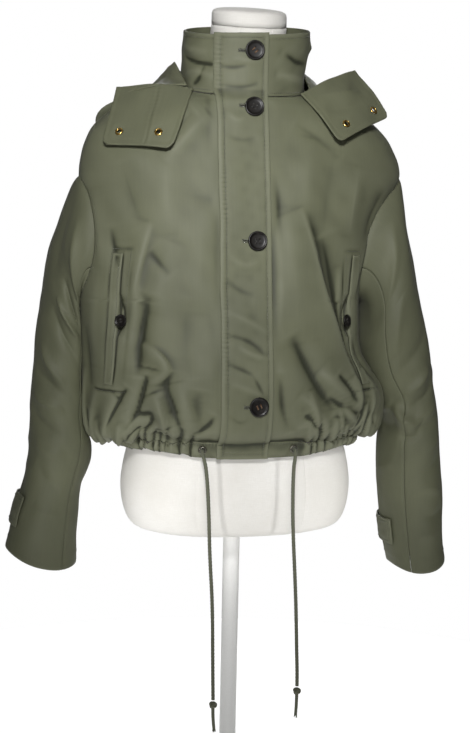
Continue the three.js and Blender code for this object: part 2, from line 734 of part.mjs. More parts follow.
function hoodPoint(across, down) {
  const share = Math.abs(across);
  const guide = new THREE.CatmullRomCurve3(hoodOrder.map((line) => {
    const [half, y, z] = [1, 2, 3].map((column) => tableValue(hoodLines[line], column, share));
    return vector(Math.sign(across || 1) * half + 3, y, z);
  }), false, 'centripetal');
  const point = guide.getPoint(down);
  if (down < 0.5) return point;
  const clearance = mix(6, -3, smooth(0.86, 1, down));
  return clearance > 0 ? clearAbove(pushOut(point, clearance), clearance) : point;
}

function hood() {
  const [columns, steps] = [16, 13];
  const rows = evenly(steps, 0, 1).map((down) => evenly(columns, -1, 1).map((across) => {
    const point = hoodPoint(across, down);
    const [left, right] = [Math.min(1, across + 0.06), Math.max(-1, across - 0.06)];
    const [lower, upper] = [Math.min(1, down + 0.03), Math.max(0, down - 0.03)];
    const sideways = hoodPoint(left, down).sub(hoodPoint(right, down));
    const downwards = hoodPoint(across, lower).sub(hoodPoint(across, upper));
    return { point, normal: sideways.cross(downwards).negate().normalize() };
  }));
  const pouch = toSolid(wallGeometry(rows, doubled));
  return fromSolid(hoodTrimmers.reduce((solid, cut) => solid.subtract(cut), pouch));
}
addPiece('hood', hood(), olive);

// Drawcords: each leaves an eyelet in the casing, hangs straight down and ends in a knot
const cordRoutes = {
  right: [
    [-72.7, -120, 585.8], [-73.6, -123.4, 585.2], [-74, -129, 582.5], [-72.5, -133.5, 574], [-70, -136, 560],
    [-67.5, -138.5, 530], [-65.5, -140, 490], [-64, -141, 450], [-62, -140, 420], [-59, -139, 380],
    [-57, -138, 340], [-56, -138, 300], [-55, -138, 260], [-54, -138, 224],
  ],
  left: [
    [60.5, -123.4, 585.8], [61.2, -126.8, 585.2], [61.2, -132, 582.5], [59.5, -136, 574], [57.5, -138, 560],
    [56.5, -140, 530], [57, -141.5, 490], [59, -142, 450], [62, -141, 410], [65, -140, 366],
    [67, -139, 330], [68.5, -139, 294], [70, -139, 262], [70.5, -139, 238],
  ],
};
const hemEyelet = ringGeometry(6.4, 3.7, 1.6, 12);
const hemEyeletX = { right: -72, left: 60 };
const hemEyeletZ = 586;

function cordGeometry(points) {
  const path = new THREE.CatmullRomCurve3(points.map((place) => vector(...place)), false, 'centripetal');
  const section = new THREE.Shape();
  evenly(7, 0, 315).forEach((turn, i) => {
    const [x, y] = [Math.cos(radians(turn)), Math.sin(radians(turn))].map((part) => part * cordDiameter / 2);
    if (i === 0) section.moveTo(x, y);
    else section.lineTo(x, y);
  });
  return new THREE.ExtrudeGeometry(section, { steps: 20, bevelEnabled: false, extrudePath: path });
}

// A knot with its short tail below it
function knotGeometry(tail) {
  const profile = [[0, -tail], [2.6, -tail], [2.6, -9], [6, -5], [6.6, 0], [5.6, 5], [2.8, 8], [0, 8]];
  return new THREE.LatheGeometry(profile.map(([r, h]) => new THREE.Vector2(r, h)), 10);
}

Object.entries(cordRoutes).forEach(([name, points]) => {
  addPiece(`drawcord_${name}`, cordGeometry(points), oliveDark);
  const [x, y, z] = points[points.length - 1];
  const knot = addPiece(`knot_${name}`, knotGeometry(36), oliveDark);
  knot.rotation.x = Math.PI / 2;
  knot.position.set(x, y, z - 8 - seamGap);
  const angle = angleAtX(hemEyeletX[name], (turn) => bodyPoint(turn, hemEyeletZ));
  seat(addPiece(`hem_eyelet_${name}`, hemEyelet, gunmetal), bodyPoint(angle, hemEyeletZ, wall / 2), 1.3);
});

// Dress form: a limbless torso with a neck, on a pole and a round base
const formTable = [
  // z, half width, front depth, back depth, power, shift to the wearer's left
  [formBottomZ, 138, 88, 92, 2.3, 4],
  [456, 156, 103, 107, 2.3, 4],
  [472, 167, 111, 115, 2.3, 4],
  [500, 173, 115, 119, 2.3, 4],
  [528, 173, 115, 119, 2.3, 4],
  [572, 164, 112, 115, 2.3, 4],
  [620, 146, 103, 104, 2.3, 3],
  [690, 123, 88, 90, 2.3, 2],
  [760, 137, 98, 96, 2.3, 2],
  [830, 150, 106, 104, 2.3, 2],
  [880, 156, 104, 108, 2.3, 2],
  [950, 172, 92, 106, 2.3, 2],
  [1000, 188, 84, 104, 2.25, 2],
  [1020, 180, 80, 100, 2.2, 2],
  [1050, 166, 76, 93, 2.2, 2],
  [1066, 144.5, 73, 88, 2.2, 1],
  [1078, 111.5, 69, 82, 2.2, 1],
  [1086, 80, 65, 76, 2.2, 2],
  [1096, 64, 60, 66, 2.1, 4],
  [1120, 57, 54, 60, 2, 6],
  [1186, 55, 50, 56, 2, 11],
];

function formRing(z, extraZ = 0) {
  return evenly(23, 0, 345).map((angle) => {
    const turn = radians(angle);
    const [sine, cosine] = [Math.sin(turn), Math.cos(turn)];
    const power = 2 / tableValue(formTable, 4, z);
    const half = tableValue(formTable, 1, z);
    const depth = tableValue(formTable, cosine > 0 ? 2 : 3, z);
    const x = tableValue(formTable, 5, z) + half * Math.sign(sine) * Math.abs(sine) ** power;
    const y = -depth * Math.sign(cosine) * Math.abs(cosine) ** power;
    const rise = backRise * smooth(960, neckZ, z) * (y + 77) / 167;
    return vector(x, y, z + rise + extraZ);
  });
}

const formHeights = [
  formBottomZ, 456, 472, 500, 528, 572, 620, 690, 760, 830, 880, 950, 985, 1008, 1028, 1046, 1062, 1074, 1086,
  1096, 1120, 1178,
];
addPiece('form_torso', loftGeometry(formHeights.map((z) => formRing(z))), linen);

const capRings = [[1, 0], [1, 12], [0.86, 20], [0.5, 25]].map(([scale, height]) => {
  const ring = formRing(1178, height + seamGap);
  const centre = ring.reduce((sum, point) => sum.add(point), vector()).divideScalar(ring.length);
  return ring.map((point) => vector(mix(centre.x, point.x, scale), mix(centre.y, point.y, scale), point.z));
});
addPiece('form_neck_cap', loftGeometry(capRings), linen);

const base = { radius: 165, thickness: 9, edge: 2.5 };
const baseProfile = [[0, 0], [base.radius - base.edge, 0], [base.radius, base.edge],
  [base.radius, base.thickness - base.edge], [base.radius - base.edge, base.thickness], [0, base.thickness]];
const standBase = new THREE.LatheGeometry(baseProfile.map(([r, h]) => new THREE.Vector2(r, h)), 36);
standBase.rotateX(Math.PI / 2);
addPiece('stand_base', standBase, whitePaint);

const poleLength = formBottomZ - base.thickness - 2 * seamGap;
const pole = addPiece('stand_pole', new THREE.CylinderGeometry(12.5, 12.5, poleLength, 20), whitePaint);
pole.rotation.x = Math.PI / 2;
pole.position.z = base.thickness + seamGap + poleLength / 2;

export default jacket;
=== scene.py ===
# Utility jacket on a dress form: the looks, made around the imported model.
# The dictionaries hold millimetres and degrees, and a mesh is scaled to metres when it is made.
import math

import bmesh
import bpy
import numpy as np
from mathutils import Matrix, Vector


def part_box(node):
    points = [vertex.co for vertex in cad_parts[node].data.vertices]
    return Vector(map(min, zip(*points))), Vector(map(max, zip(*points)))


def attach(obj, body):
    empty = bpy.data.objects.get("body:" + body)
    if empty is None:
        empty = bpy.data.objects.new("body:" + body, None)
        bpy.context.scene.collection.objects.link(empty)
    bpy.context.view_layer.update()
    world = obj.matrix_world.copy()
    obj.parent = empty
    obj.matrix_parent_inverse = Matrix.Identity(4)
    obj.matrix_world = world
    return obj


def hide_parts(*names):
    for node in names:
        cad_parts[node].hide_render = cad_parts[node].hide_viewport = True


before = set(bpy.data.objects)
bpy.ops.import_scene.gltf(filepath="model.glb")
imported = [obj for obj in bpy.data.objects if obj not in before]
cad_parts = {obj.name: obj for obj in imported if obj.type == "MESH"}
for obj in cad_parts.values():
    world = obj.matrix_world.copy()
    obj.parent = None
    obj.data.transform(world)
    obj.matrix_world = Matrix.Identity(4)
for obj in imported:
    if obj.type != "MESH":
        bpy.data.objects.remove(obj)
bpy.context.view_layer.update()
bpy.ops.object.select_all(action="DESELECT")
mm = 0.001
print("frame loaded:", len(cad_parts), "nodes")


# Small helpers

def ease(low, high, value):
    share = np.clip((value - low) / (high - low), 0, 1)
    return share * share * (3 - 2 * share)


def mix(first, second, share):
    return first + (second - first) * share


def unit(vectors):
    return vectors / np.maximum(np.linalg.norm(vectors, axis=-1, keepdims=True), 1e-9)


def tableValue(table, column, at):
    # smooth value of one column at a place along the first, rising column
    table = np.asarray(table, float)
    at = np.clip(at, table[0, 0], table[-1, 0])
    row = np.clip(np.searchsorted(table[:, 0], at, side="right"), 1, len(table) - 1)
    low, high = table[row - 1], table[row]
    before, after = table[np.maximum(row - 2, 0)], table[np.minimum(row + 1, len(table) - 1)]
    span = high[..., 0] - low[..., 0]
    share = (at - low[..., 0]) / span
    slopeLow = (high[..., column] - before[..., column]) / (high[..., 0] - before[..., 0]) * span
    slopeHigh = (after[..., column] - low[..., column]) / (after[..., 0] - low[..., 0]) * span
    square, cube = share ** 2, share ** 3
    return ((2 * cube - 3 * square + 1) * low[..., column] + (cube - 2 * square + share) * slopeLow
            + (3 * square - 2 * cube) * high[..., column] + (cube - square) * slopeHigh)


def softPath(points, rounds=2):
    # a path with its corners cut off, so that a fold bends as cloth does
    path = np.asarray(points, float)
    for _ in range(rounds):
        inner = np.empty((2 * (len(path) - 1), path.shape[1]))
        inner[0::2] = 0.75 * path[:-1] + 0.25 * path[1:]
        inner[1::2] = 0.25 * path[:-1] + 0.75 * path[1:]
        path = np.vstack([path[:1], inner, path[-1:]])
    return path


def curvePoints(points, pitch):
    # evenly spaced points on a smooth curve through the given ones, and its length
    path = np.asarray(points, float)
    padded = np.vstack([2 * path[0] - path[1], path, 2 * path[-1] - path[-2]])
    dense = []
    for i in range(len(path) - 1):
        a, b, c, d = padded[i:i + 4]
        for share in np.linspace(0, 1, 24, endpoint=False):
            dense.append(0.5 * (2 * b + (c - a) * share + (2 * a - 5 * b + 4 * c - d) * share ** 2
                                + (3 * b - a - 3 * c + d) * share ** 3))
    dense = np.array(dense + [path[-1]])
    lengths = np.concatenate([[0], np.cumsum(np.linalg.norm(np.diff(dense, axis=0), axis=1))])
    wanted = np.linspace(0, lengths[-1], max(2, int(round(lengths[-1] / pitch)) + 1))
    return np.stack([np.interp(wanted, lengths, dense[:, k]) for k in range(path.shape[1])], -1), lengths[-1]


# Folds: each is a path on the cloth, a height, and how far it reaches on its left and right side.
# A short reach on one side makes the crisp edge of a fold that lies over.

foldStrength = 1.25


def foldField(across, along, folds):
    total = np.zeros(np.broadcast(across, along).shape)
    across = np.broadcast_to(across, total.shape)
    along = np.broadcast_to(along, total.shape)
    for path, height, left, right in folds:
        path = softPath(path)
        reach = 2.4 * max(left, right)
        near = ((across > path[:, 0].min() - reach) & (across < path[:, 0].max() + reach)
                & (along > path[:, 1].min() - reach) & (along < path[:, 1].max() + reach))
        if not near.any():
            continue
        spot = np.stack([across[near], along[near]], -1)
        nearest = np.full(len(spot), 1e9)
        side = np.zeros(len(spot))
        progress = np.zeros(len(spot))
        steps = np.diff(path, axis=0)
        lengths = np.linalg.norm(steps, axis=1)
        starts = np.concatenate([[0], np.cumsum(lengths)])
        for start, step, length, begin in zip(path[:-1], steps, lengths, starts):
            offset = spot - start
            share = np.clip(offset @ step / length ** 2, 0, 1)
            away = offset - share[:, None] * step
            distance = np.linalg.norm(away, axis=1)
            closer = distance < nearest
            nearest = np.where(closer, distance, nearest)
            side = np.where(closer, step[0] * away[:, 1] - step[1] * away[:, 0], side)
            progress = np.where(closer, (begin + share * length) / starts[-1], progress)
        width = np.where(side > 0, left, right)
        taper = np.sin(np.pi * np.clip(progress, 0, 1)) ** 0.85
        crispness = 1.2 + 0.5 * ease(5, 16, width)      # narrow folds have a crisp crest
        total[near] += foldStrength * height * taper * np.exp(-(nearest / width) ** crispness)
    return total


def ripple(across, along, wavelength, height, seed):
    # slight unevenness of worn cloth: a few crossing waves of about one wavelength
    rng = np.random.default_rng(seed)
    total = 0
    for _ in range(7):
        turn = rng.uniform(0, math.pi)
        rate = 2 * math.pi / (wavelength * rng.uniform(0.7, 1.5))
        start = rng.uniform(0, 6.28)
        total = total + np.sin(rate * (math.cos(turn) * across + math.sin(turn) * along) + start)
    return total * height / 2.6


def pucker(distance, along, reach, pitch, height, seed):
    # short ticks that a row of stitches draws into an edge
    rng = np.random.default_rng(seed)
    drift = 1.1 * np.sin(along / 17.0 + rng.uniform(0, 6)) + 0.7 * np.sin(along / 7.3 + rng.uniform(0, 6))
    strength = 0.62 + 0.38 * np.sin(along / 31.0 + rng.uniform(0, 6))
    band = ease(-0.5, 1.5, distance) * ease(reach + 2.5, reach - 1.5, distance)
    return height * band * strength * np.sin(2 * math.pi * along / pitch + drift)


# Colours and materials

def linearColour(hexText):
    values = [int(hexText[i:i + 2], 16) / 255 for i in (1, 3, 5)]
    return [v / 12.92 if v <= 0.04045 else ((v + 0.055) / 1.055) ** 2.4 for v in values] + [1.0]


def addNode(tree, kind, values=None, links=None, stops=(), **settings):
    made = tree.nodes.new(kind)
    for name, value in settings.items():
        setattr(made, name, value)
    for name, value in (values or {}).items():
        made.inputs[name].default_value = value
    for name, socket in (links or {}).items():
        tree.links.new(socket, made.inputs[name])
    for i, (place, colour) in enumerate(stops):
        ramp = made.color_ramp.elements
        if i >= len(ramp):
            ramp.new(place)
        ramp[i].position = place
        ramp[i].color = linearColour(colour)
    return made


def startMaterial(name, settings):
    material = bpy.data.materials.new(name)
    material.use_nodes = True
    shader = material.node_tree.nodes["Principled BSDF"]
    for socket, value in settings.items():
        shader.inputs[socket].default_value = value
    return material, material.node_tree, shader


colourFirst, colourSecond, colourOut = 6, 7, 2     # colour sockets of a Mix node
bandRate = 2 * math.pi / 20                        # a Wave texture's scale for bands 1 m apart
slantRate = bandRate * math.sqrt(2)                # the same for its slanting bands

clothLook = {
    "light": "#636550",
    "dark": "#5c5e4b",
    # paler colour of raised edges: partly wear, partly painted highlight
    "worn": "#777966",
    # near-black olive of crease bottoms: painted shade
    "paintedCreaseShade": "#25271e",
    "twillPitch": 1.5,      # the real 0.5 mm lines are too fine to show, so they are drawn coarser
    "threadPitch": 1.1,
    "relief": 0.03,
    "roughness": 0.56,
}


def twillMaterial(name, look):
    # washed cotton twill: dull, with fine slanting lines and a soft nap; raised edges are paler, partly wear
    # and partly painted highlight, and crease bottoms are darker with painted shade
    material, tree, shader = startMaterial(name, {
        "Roughness": look["roughness"], "Sheen Weight": 0.03, "Sheen Roughness": 0.4,
        "Specular IOR Level": 0.22})
    place = addNode(tree, "ShaderNodeUVMap", uv_map="cloth").outputs["UV"]
    broad = addNode(tree, "ShaderNodeTexNoise", {"Scale": 11.0, "Detail": 4.0}, {"Vector": place})
    drawn = addNode(tree, "ShaderNodeMapping", {"Scale": (330.0, 22.0, 1.0)}, {"Vector": place})
    slub = addNode(tree, "ShaderNodeTexNoise", {"Scale": 1.0, "Detail": 3.0}, {"Vector": drawn.outputs[0]})
    fine = addNode(tree, "ShaderNodeMath", {1: 0.2}, {0: slub.outputs[0]}, operation="MULTIPLY")
    both = addNode(tree, "ShaderNodeMath", {1: 0.8}, {0: broad.outputs[0], 2: fine.outputs[0]},
                   operation="MULTIPLY_ADD")
    tone = addNode(tree, "ShaderNodeValToRGB", links={"Fac": both.outputs[0]},
                   stops=[(0.38, look["dark"]), (0.62, look["light"]), (1.0, look["light"])])
    wearAndCreaseShade = addNode(tree, "ShaderNodeAttribute", attribute_name="wearAndCreaseShade").outputs["Fac"]
    high = addNode(tree, "ShaderNodeMapRange", {"To Max": 0.45}, {"Value": wearAndCreaseShade})
    low = addNode(tree, "ShaderNodeMapRange", {"From Max": -1.0, "To Max": 0.85}, {"Value": wearAndCreaseShade})
    # raised edges mixed towards the paler colour: partly wear, partly painted highlight
    raised = addNode(tree, "ShaderNodeMix", {colourSecond: linearColour(look["worn"])},
                     {0: high.outputs[0], colourFirst: tone.outputs[0]}, data_type="RGBA")
    # crease bottoms mixed towards a near-black olive: painted shade
    creaseShadeMix = addNode(tree, "ShaderNodeMix", {colourSecond: linearColour(look["paintedCreaseShade"])},
                   {0: low.outputs[0], colourFirst: raised.outputs[colourOut]}, data_type="RGBA")
    tree.links.new(creaseShadeMix.outputs[colourOut], shader.inputs["Base Color"])
    lineScale = slantRate / (look["twillPitch"] * mm)
    lines = addNode(tree, "ShaderNodeTexWave", {"Scale": lineScale, "Distortion": 0.5},
                    {"Vector": place}, bands_direction="DIAGONAL")
    threadScale = bandRate / (look["threadPitch"] * mm)
    threads = addNode(tree, "ShaderNodeTexWave", {"Scale": threadScale, "Distortion": 0.4},
                      {"Vector": place}, bands_direction="X")
    fuzz = addNode(tree, "ShaderNodeTexNoise", {"Scale": 600.0, "Detail": 2.0}, {"Vector": place})
    woven = addNode(tree, "ShaderNodeMath", {1: 0.5}, {0: threads.outputs["Fac"], 2: lines.outputs["Fac"]},
                    operation="MULTIPLY_ADD")
    rough = addNode(tree, "ShaderNodeMath", None, {0: woven.outputs[0], 1: fuzz.outputs[0]}, operation="ADD")
    bump = addNode(tree, "ShaderNodeBump", {"Strength": 0.4, "Distance": look["relief"] * mm},
                   {"Height": rough.outputs[0]})
    tree.links.new(bump.outputs[0], shader.inputs["Normal"])
    return material


def linenMaterial():
    # cover cloth of the form: off-white linen, plainly woven, with uneven threads
    material, tree, shader = startMaterial("offWhiteLinen", {"Roughness": 0.85, "Sheen Weight": 0.1})
    place = addNode(tree, "ShaderNodeTexCoord").outputs["Object"]
    warp = addNode(tree, "ShaderNodeMapping", {"Scale": (1500.0, 1500.0, 90.0)}, {"Vector": place})
    weft = addNode(tree, "ShaderNodeMapping", {"Scale": (90.0, 90.0, 1500.0)}, {"Vector": place})
    threads = [addNode(tree, "ShaderNodeTexNoise", {"Scale": 1.0, "Detail": 2.0}, {"Vector": m.outputs[0]})
               for m in (warp, weft)]
    weave = addNode(tree, "ShaderNodeMath", None, {0: threads[0].outputs[0], 1: threads[1].outputs[0]},
                    operation="ADD")
    stain = addNode(tree, "ShaderNodeTexNoise", {"Scale": 9.0, "Detail": 3.0}, {"Vector": place})
    shade = addNode(tree, "ShaderNodeMath", {1: 0.35, 2: 0.15}, {0: weave.outputs[0]},
                    operation="MULTIPLY_ADD")
    joined = addNode(tree, "ShaderNodeMath", None, {0: shade.outputs[0], 1: stain.outputs[0]},
                     operation="MULTIPLY")
    tone = addNode(tree, "ShaderNodeValToRGB", links={"Fac": joined.outputs[0]},
                   stops=[(0.12, "#d9d6cf"), (0.36, "#e9e7e2")])
    tree.links.new(tone.outputs[0], shader.inputs["Base Color"])
    bump = addNode(tree, "ShaderNodeBump", {"Strength": 0.35, "Distance": 0.12 * mm},
                   {"Height": weave.outputs[0]})
    tree.links.new(bump.outputs[0], shader.inputs["Normal"])
    return material


def hornMaterial():
    # imitation horn: polished polyester, near black brown with cloudy streaks
    material, tree, shader = startMaterial("polishedHornPolyester", {
        "Roughness": 0.36, "Specular IOR Level": 0.32})
    place = addNode(tree, "ShaderNodeTexCoord").outputs["Object"]
    cloud = addNode(tree, "ShaderNodeTexNoise", {"Scale": 95.0, "Detail": 3.0, "Distortion": 1.6},
                    {"Vector": place})
    tone = addNode(tree, "ShaderNodeValToRGB", links={"Fac": cloud.outputs[0]},
                   stops=[(0.42, "#0e0c0a"), (0.64, "#1b1815"), (0.82, "#302a24")])
    tree.links.new(tone.outputs[0], shader.inputs["Base Color"])
    return material


def metalMaterial(name, bright, dull, roughness):
    # plated pressed eyelet: fine handling marks on a smooth metal face
    material, tree, shader = startMaterial(name, {"Metallic": 1.0})
    place = addNode(tree, "ShaderNodeTexCoord").outputs["Object"]
    marks = addNode(tree, "ShaderNodeTexNoise", {"Scale": 420.0, "Detail": 3.0}, {"Vector": place})
    tone = addNode(tree, "ShaderNodeValToRGB", links={"Fac": marks.outputs[0]},
                   stops=[(0.35, dull), (0.6, bright)])
    tree.links.new(tone.outputs[0], shader.inputs["Base Color"])
    polish = addNode(tree, "ShaderNodeMapRange", {"To Min": roughness, "To Max": roughness + 0.18},
                     {"Value": marks.outputs[0]})
    tree.links.new(polish.outputs[0], shader.inputs["Roughness"])
    return material


def threadMaterial(name, dark, light, pitch):
    # spun thread: a dull surface with the slanting lines of its twist
    material, tree, shader = startMaterial(name, {"Roughness": 0.8, "Sheen Weight": 0.15})
    place = addNode(tree, "ShaderNodeTexCoord").outputs["Object"]
    twist = addNode(tree, "ShaderNodeTexWave", {"Scale": slantRate / (pitch * mm), "Distortion": 1.0},
                    {"Vector": place}, bands_direction="DIAGONAL")
    tone = addNode(tree, "ShaderNodeValToRGB", links={"Fac": twist.outputs["Fac"]},
                   stops=[(0.2, dark), (0.8, light)])
    tree.links.new(tone.outputs[0], shader.inputs["Base Color"])
    bump = addNode(tree, "ShaderNodeBump", {"Strength": 0.3, "Distance": 0.1 * mm},
                   {"Height": twist.outputs["Fac"]})
    tree.links.new(bump.outputs[0], shader.inputs["Normal"])
    return material


def paintMaterial():
    # white powder coat on steel: satin, with a faint orange-peel grain
    material, tree, shader = startMaterial("whitePowderCoat", {"Roughness": 0.42})
    place = addNode(tree, "ShaderNodeTexCoord").outputs["Object"]
    grain = addNode(tree, "ShaderNodeTexNoise", {"Scale": 900.0, "Detail": 2.0}, {"Vector": place})
    tone = addNode(tree, "ShaderNodeValToRGB", links={"Fac": grain.outputs[0]},
                   stops=[(0.3, "#ecece9"), (0.7, "#f5f5f3")])
    tree.links.new(tone.outputs[0], shader.inputs["Base Color"])
    bump = addNode(tree, "ShaderNodeBump", {"Strength": 0.15, "Distance": 0.1 * mm},
                   {"Height": grain.outputs[0]})
    tree.links.new(bump.outputs[0], shader.inputs["Normal"])
    return material


olive = twillMaterial("washedCottonTwill", clothLook)
linen = linenMaterial()
horn = hornMaterial()
brass = metalMaterial("lacqueredBrass", "#d8b56a", "#b08d48", 0.2)
gunmetal = metalMaterial("dullGunmetalPlate", "#8a877c", "#57554d", 0.3)
cordCotton = threadMaterial("braidedCottonCord", "#4f5141", "#6b6d5a", 1.1)
sewingThread = threadMaterial("spunSewingThread", "#3d3f31", "#67695a", 0.6)
buttonThread = threadMaterial("brownButtonThread", "#5b4330", "#8d6c50", 0.6)
# near-black thread for some buttons; also the buttonhole slits, where it is painted shade
darkThreadAndSlitShade = threadMaterial("darkButtonThreadAndSlitShade", "#191713", "#2b2823", 0.6)
powderCoat = paintMaterial()
print("materials made")


# Meshes

def finishPiece(piece, slot, *nodes):
    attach(piece, "root")
    if nodes:
        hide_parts(*nodes)
    return piece


def makeMesh(name, points, faces, material, uv=None, wearAndCreaseShade=None):
    # points in millimetres; the piece keeps its place in its mesh
    mesh = bpy.data.meshes.new(name)
    mesh.from_pydata((np.asarray(points) * mm).tolist(), [], [list(face) for face in faces])
    mesh.polygons.foreach_set("use_smooth", [True] * len(mesh.polygons))
    if uv is not None:
        corners = np.empty(len(mesh.loops), int)
        mesh.loops.foreach_get("vertex_index", corners)
        layer = mesh.uv_layers.new(name="cloth")
        layer.data.foreach_set("uv", (np.asarray(uv)[corners] * mm).ravel())
    if wearAndCreaseShade is not None:
        mesh.attributes.new("wearAndCreaseShade", "FLOAT", "POINT").data.foreach_set("value", np.asarray(wearAndCreaseShade, float))
    mesh.materials.append(material)
    piece = bpy.data.objects.new(name, mesh)
    bpy.context.scene.collection.objects.link(piece)
    return piece


def gridNormals(points, outwards):
    sideways = np.gradient(points, axis=1)
    upwards = np.gradient(points, axis=0)
    return unit(np.cross(sideways, upwards)) * outwards


def smoothed(values, rounds):
    for _ in range(rounds):
        padded = np.pad(values, 1, mode="edge")
        values = (padded[1:-1, 1:-1] * 4 + padded[:-2, 1:-1] + padded[2:, 1:-1]
                  + padded[1:-1, :-2] + padded[1:-1, 2:]) / 8
    return values


def wearAndCreaseShadeOf(points, normals):
    # raised edges are +1 and the bottoms of creases are -1, judged over a narrow and a wide span; the cloth's
    # colour turns this into paler raised edges (wear and painted highlight) and painted shade in the creases
    total = 0
    for reach, strength in ((2, 14), (6, 8)):
        for axis in (0, 1):
            pad = [(reach, reach) if k == axis else (0, 0) for k in range(2)] + [(0, 0)]
            padded = np.pad(points, pad, mode="reflect", reflect_type="odd")
            count = points.shape[axis]
            before = np.take(padded, range(count), axis=axis)
            after = np.take(padded, range(2 * reach, count + 2 * reach), axis=axis)
            gap = np.linalg.norm(after - before, axis=-1) / 2 + 0.3
            total = total - strength * ((before + after - 2 * points) * normals).sum(-1) / gap ** 2
    return np.clip(smoothed(total, 2), -1, 1)


def clothShell(name, middle, across, along, halfThick, outwards, holes=()):
    # a sheet with two faces and a closed edge, through a grid of points in millimetres
    rows, columns = middle.shape[:2]
    normals = gridNormals(middle, outwards)
    halfThick = np.broadcast_to(halfThick, (rows, columns))
    outer = middle + normals * halfThick[..., None]
    inner = middle - normals * halfThick[..., None]
    # amounts of painted highlight and painted shade for the cloth's colour, kept with the points
    outerWearAndCreaseShade = wearAndCreaseShadeOf(outer, normals)
    number = np.arange(rows * columns).reshape(rows, columns)
    keep = np.ones((rows - 1, columns - 1), bool)
    centres = (middle[:-1, :-1] + middle[1:, 1:]) / 2
    for centre, radius in holes:
        keep &= np.linalg.norm(centres - centre, axis=-1) > radius
    quads = np.stack([number[:-1, :-1], number[:-1, 1:], number[1:, 1:], number[1:, :-1]], -1)
    far = rows * columns
    faces = [quads[keep] if outwards > 0 else quads[keep][:, ::-1]]
    faces.append((quads[keep][:, ::-1] if outwards > 0 else quads[keep]) + far)
    # the edge: a quad on each side of a kept cell that has no kept neighbour
    padded = np.pad(keep, 1)
    for first, second, shiftRow, shiftColumn in ((0, 1, -1, 0), (1, 2, 0, 1), (2, 3, 1, 0), (3, 0, 0, -1)):
        openSide = keep & ~padded[1 + shiftRow:rows + shiftRow, 1 + shiftColumn:columns + shiftColumn]
        a, b = quads[openSide][:, first], quads[openSide][:, second]
        wall = np.stack([b, a, a + far, b + far], -1)
        faces.append(wall if outwards > 0 else wall[:, ::-1])
    uv = np.stack([np.broadcast_to(across, (rows, columns)), np.broadcast_to(along, (rows, columns))], -1)
    points = np.vstack([outer.reshape(-1, 3), inner.reshape(-1, 3)])
    faces = np.vstack(faces)
    used, faces = np.unique(faces, return_inverse=True)
    faces = faces.reshape(-1, 4)
    wearAndCreaseShade = np.concatenate([outerWearAndCreaseShade.ravel(), np.zeros(far)])
    uv = np.vstack([uv.reshape(-1, 2), uv.reshape(-1, 2)])
    piece = makeMesh(name, points[used], faces, olive, uv[used], wearAndCreaseShade[used])
    return {"piece": piece, "middle": middle, "outer": outer, "normal": normals,
            "across": np.broadcast_to(across, (rows, columns)),
            "along": np.broadcast_to(along, (rows, columns))}


def settleSheet(sheet, node):
    # attaches a sheet to the root and hides the part of its node in the imported model
    finishPiece(sheet["piece"], "olive_cotton", node)
    return sheet


def onSheet(sheet, across, along, lift=0.0):
    # points and normals of a sheet at places given in its own across and along values
    across, along = np.atleast_1d(across).astype(float), np.atleast_1d(along).astype(float)
    heights = sheet["along"][:, 0]
    order = 1 if heights[-1] > heights[0] else -1
    row = np.interp(along, heights[::order], np.arange(len(heights))[::order])
    row = np.clip(row, 0, len(heights) - 1.001)
    low = row.astype(int)
    share = row - low
    found = []
    for target, base, part in zip(across, low, share):
        values = mix(sheet["across"][base], sheet["across"][base + 1], part)
        step = 1 if values[-1] > values[0] else -1
        column = np.interp(target, values[::step], np.arange(len(values))[::step])
        column = min(column, len(values) - 1.001)
        left = int(column)
        rest = column - left
        corner = [mix(mix(sheet[key][base, left], sheet[key][base, left + 1], rest),
                      mix(sheet[key][base + 1, left], sheet[key][base + 1, left + 1], rest), part)
                  for key in ("outer", "normal")]
        found.append((corner[0] + corner[1] * lift, corner[1]))
    points, normals = (np.array(values) for values in zip(*found))
    return points, unit(normals)


def tubeMesh(name, path, radius, sides, material, relief=None):
    # a closed tube round a path of points in millimetres; relief(turn, length) scales its radius
    path = np.asarray(path, float)
    tangents = unit(np.gradient(path, axis=0))
    lengths = np.concatenate([[0], np.cumsum(np.linalg.norm(np.diff(path, axis=0), axis=1))])
    side = unit(np.cross(tangents[0], [0.3, 0.2, 1.0]) + 1e-6)
    turns = np.linspace(0, 2 * math.pi, sides, endpoint=False)
    rings = []
    radius = np.broadcast_to(radius, len(path))
    for point, tangent, length, size in zip(path, tangents, lengths, radius):
        side = unit(side - tangent * (side @ tangent))
        other = np.cross(tangent, side)
        scale = size * (relief(turns, length) if relief else np.ones(sides))
        rings.append(point + np.outer(np.cos(turns) * scale, side) + np.outer(np.sin(turns) * scale, other))
    points = np.vstack(rings + [path[:1], path[-1:]])
    number = np.arange(len(path) * sides).reshape(len(path), sides)
    following = np.roll(number, -1, axis=1)
    faces = np.stack([number[:-1], following[:-1], following[1:], number[1:]], -1).reshape(-1, 4).tolist()
    first, last = len(path) * sides, len(path) * sides + 1
    faces += [[first, b, a] for a, b in zip(number[0], following[0])]
    faces += [[last, a, b] for a, b in zip(number[-1], following[-1])]
    return makeMesh(name, points, faces, material)


def selectOnly(*pieces):
    bpy.ops.object.select_all(action="DESELECT")
    for piece in pieces:
        piece.select_set(True)
    bpy.context.view_layer.objects.active = pieces[0]


def joinPieces(name, pieces):
    selectOnly(*pieces)
    bpy.ops.object.join()
    pieces[0].name = name
    pieces[0].select_set(False)
    return pieces[0]


# Stitches: small raised bars along a line on a sheet

stitchLook = {"pitch": 3.4, "length": 2.5, "width": 0.75, "height": 0.32}
stitchRows = []


def sewOn(sheet, across, along, look=stitchLook, rows=stitchRows):
    # a row of stitches through places given in the sheet's own values
    across, along = np.broadcast_arrays(np.asarray(across, float), np.asarray(along, float))
    points, normals = onSheet(sheet, across, along, 0.1)
    rows.append((points, normals, look))


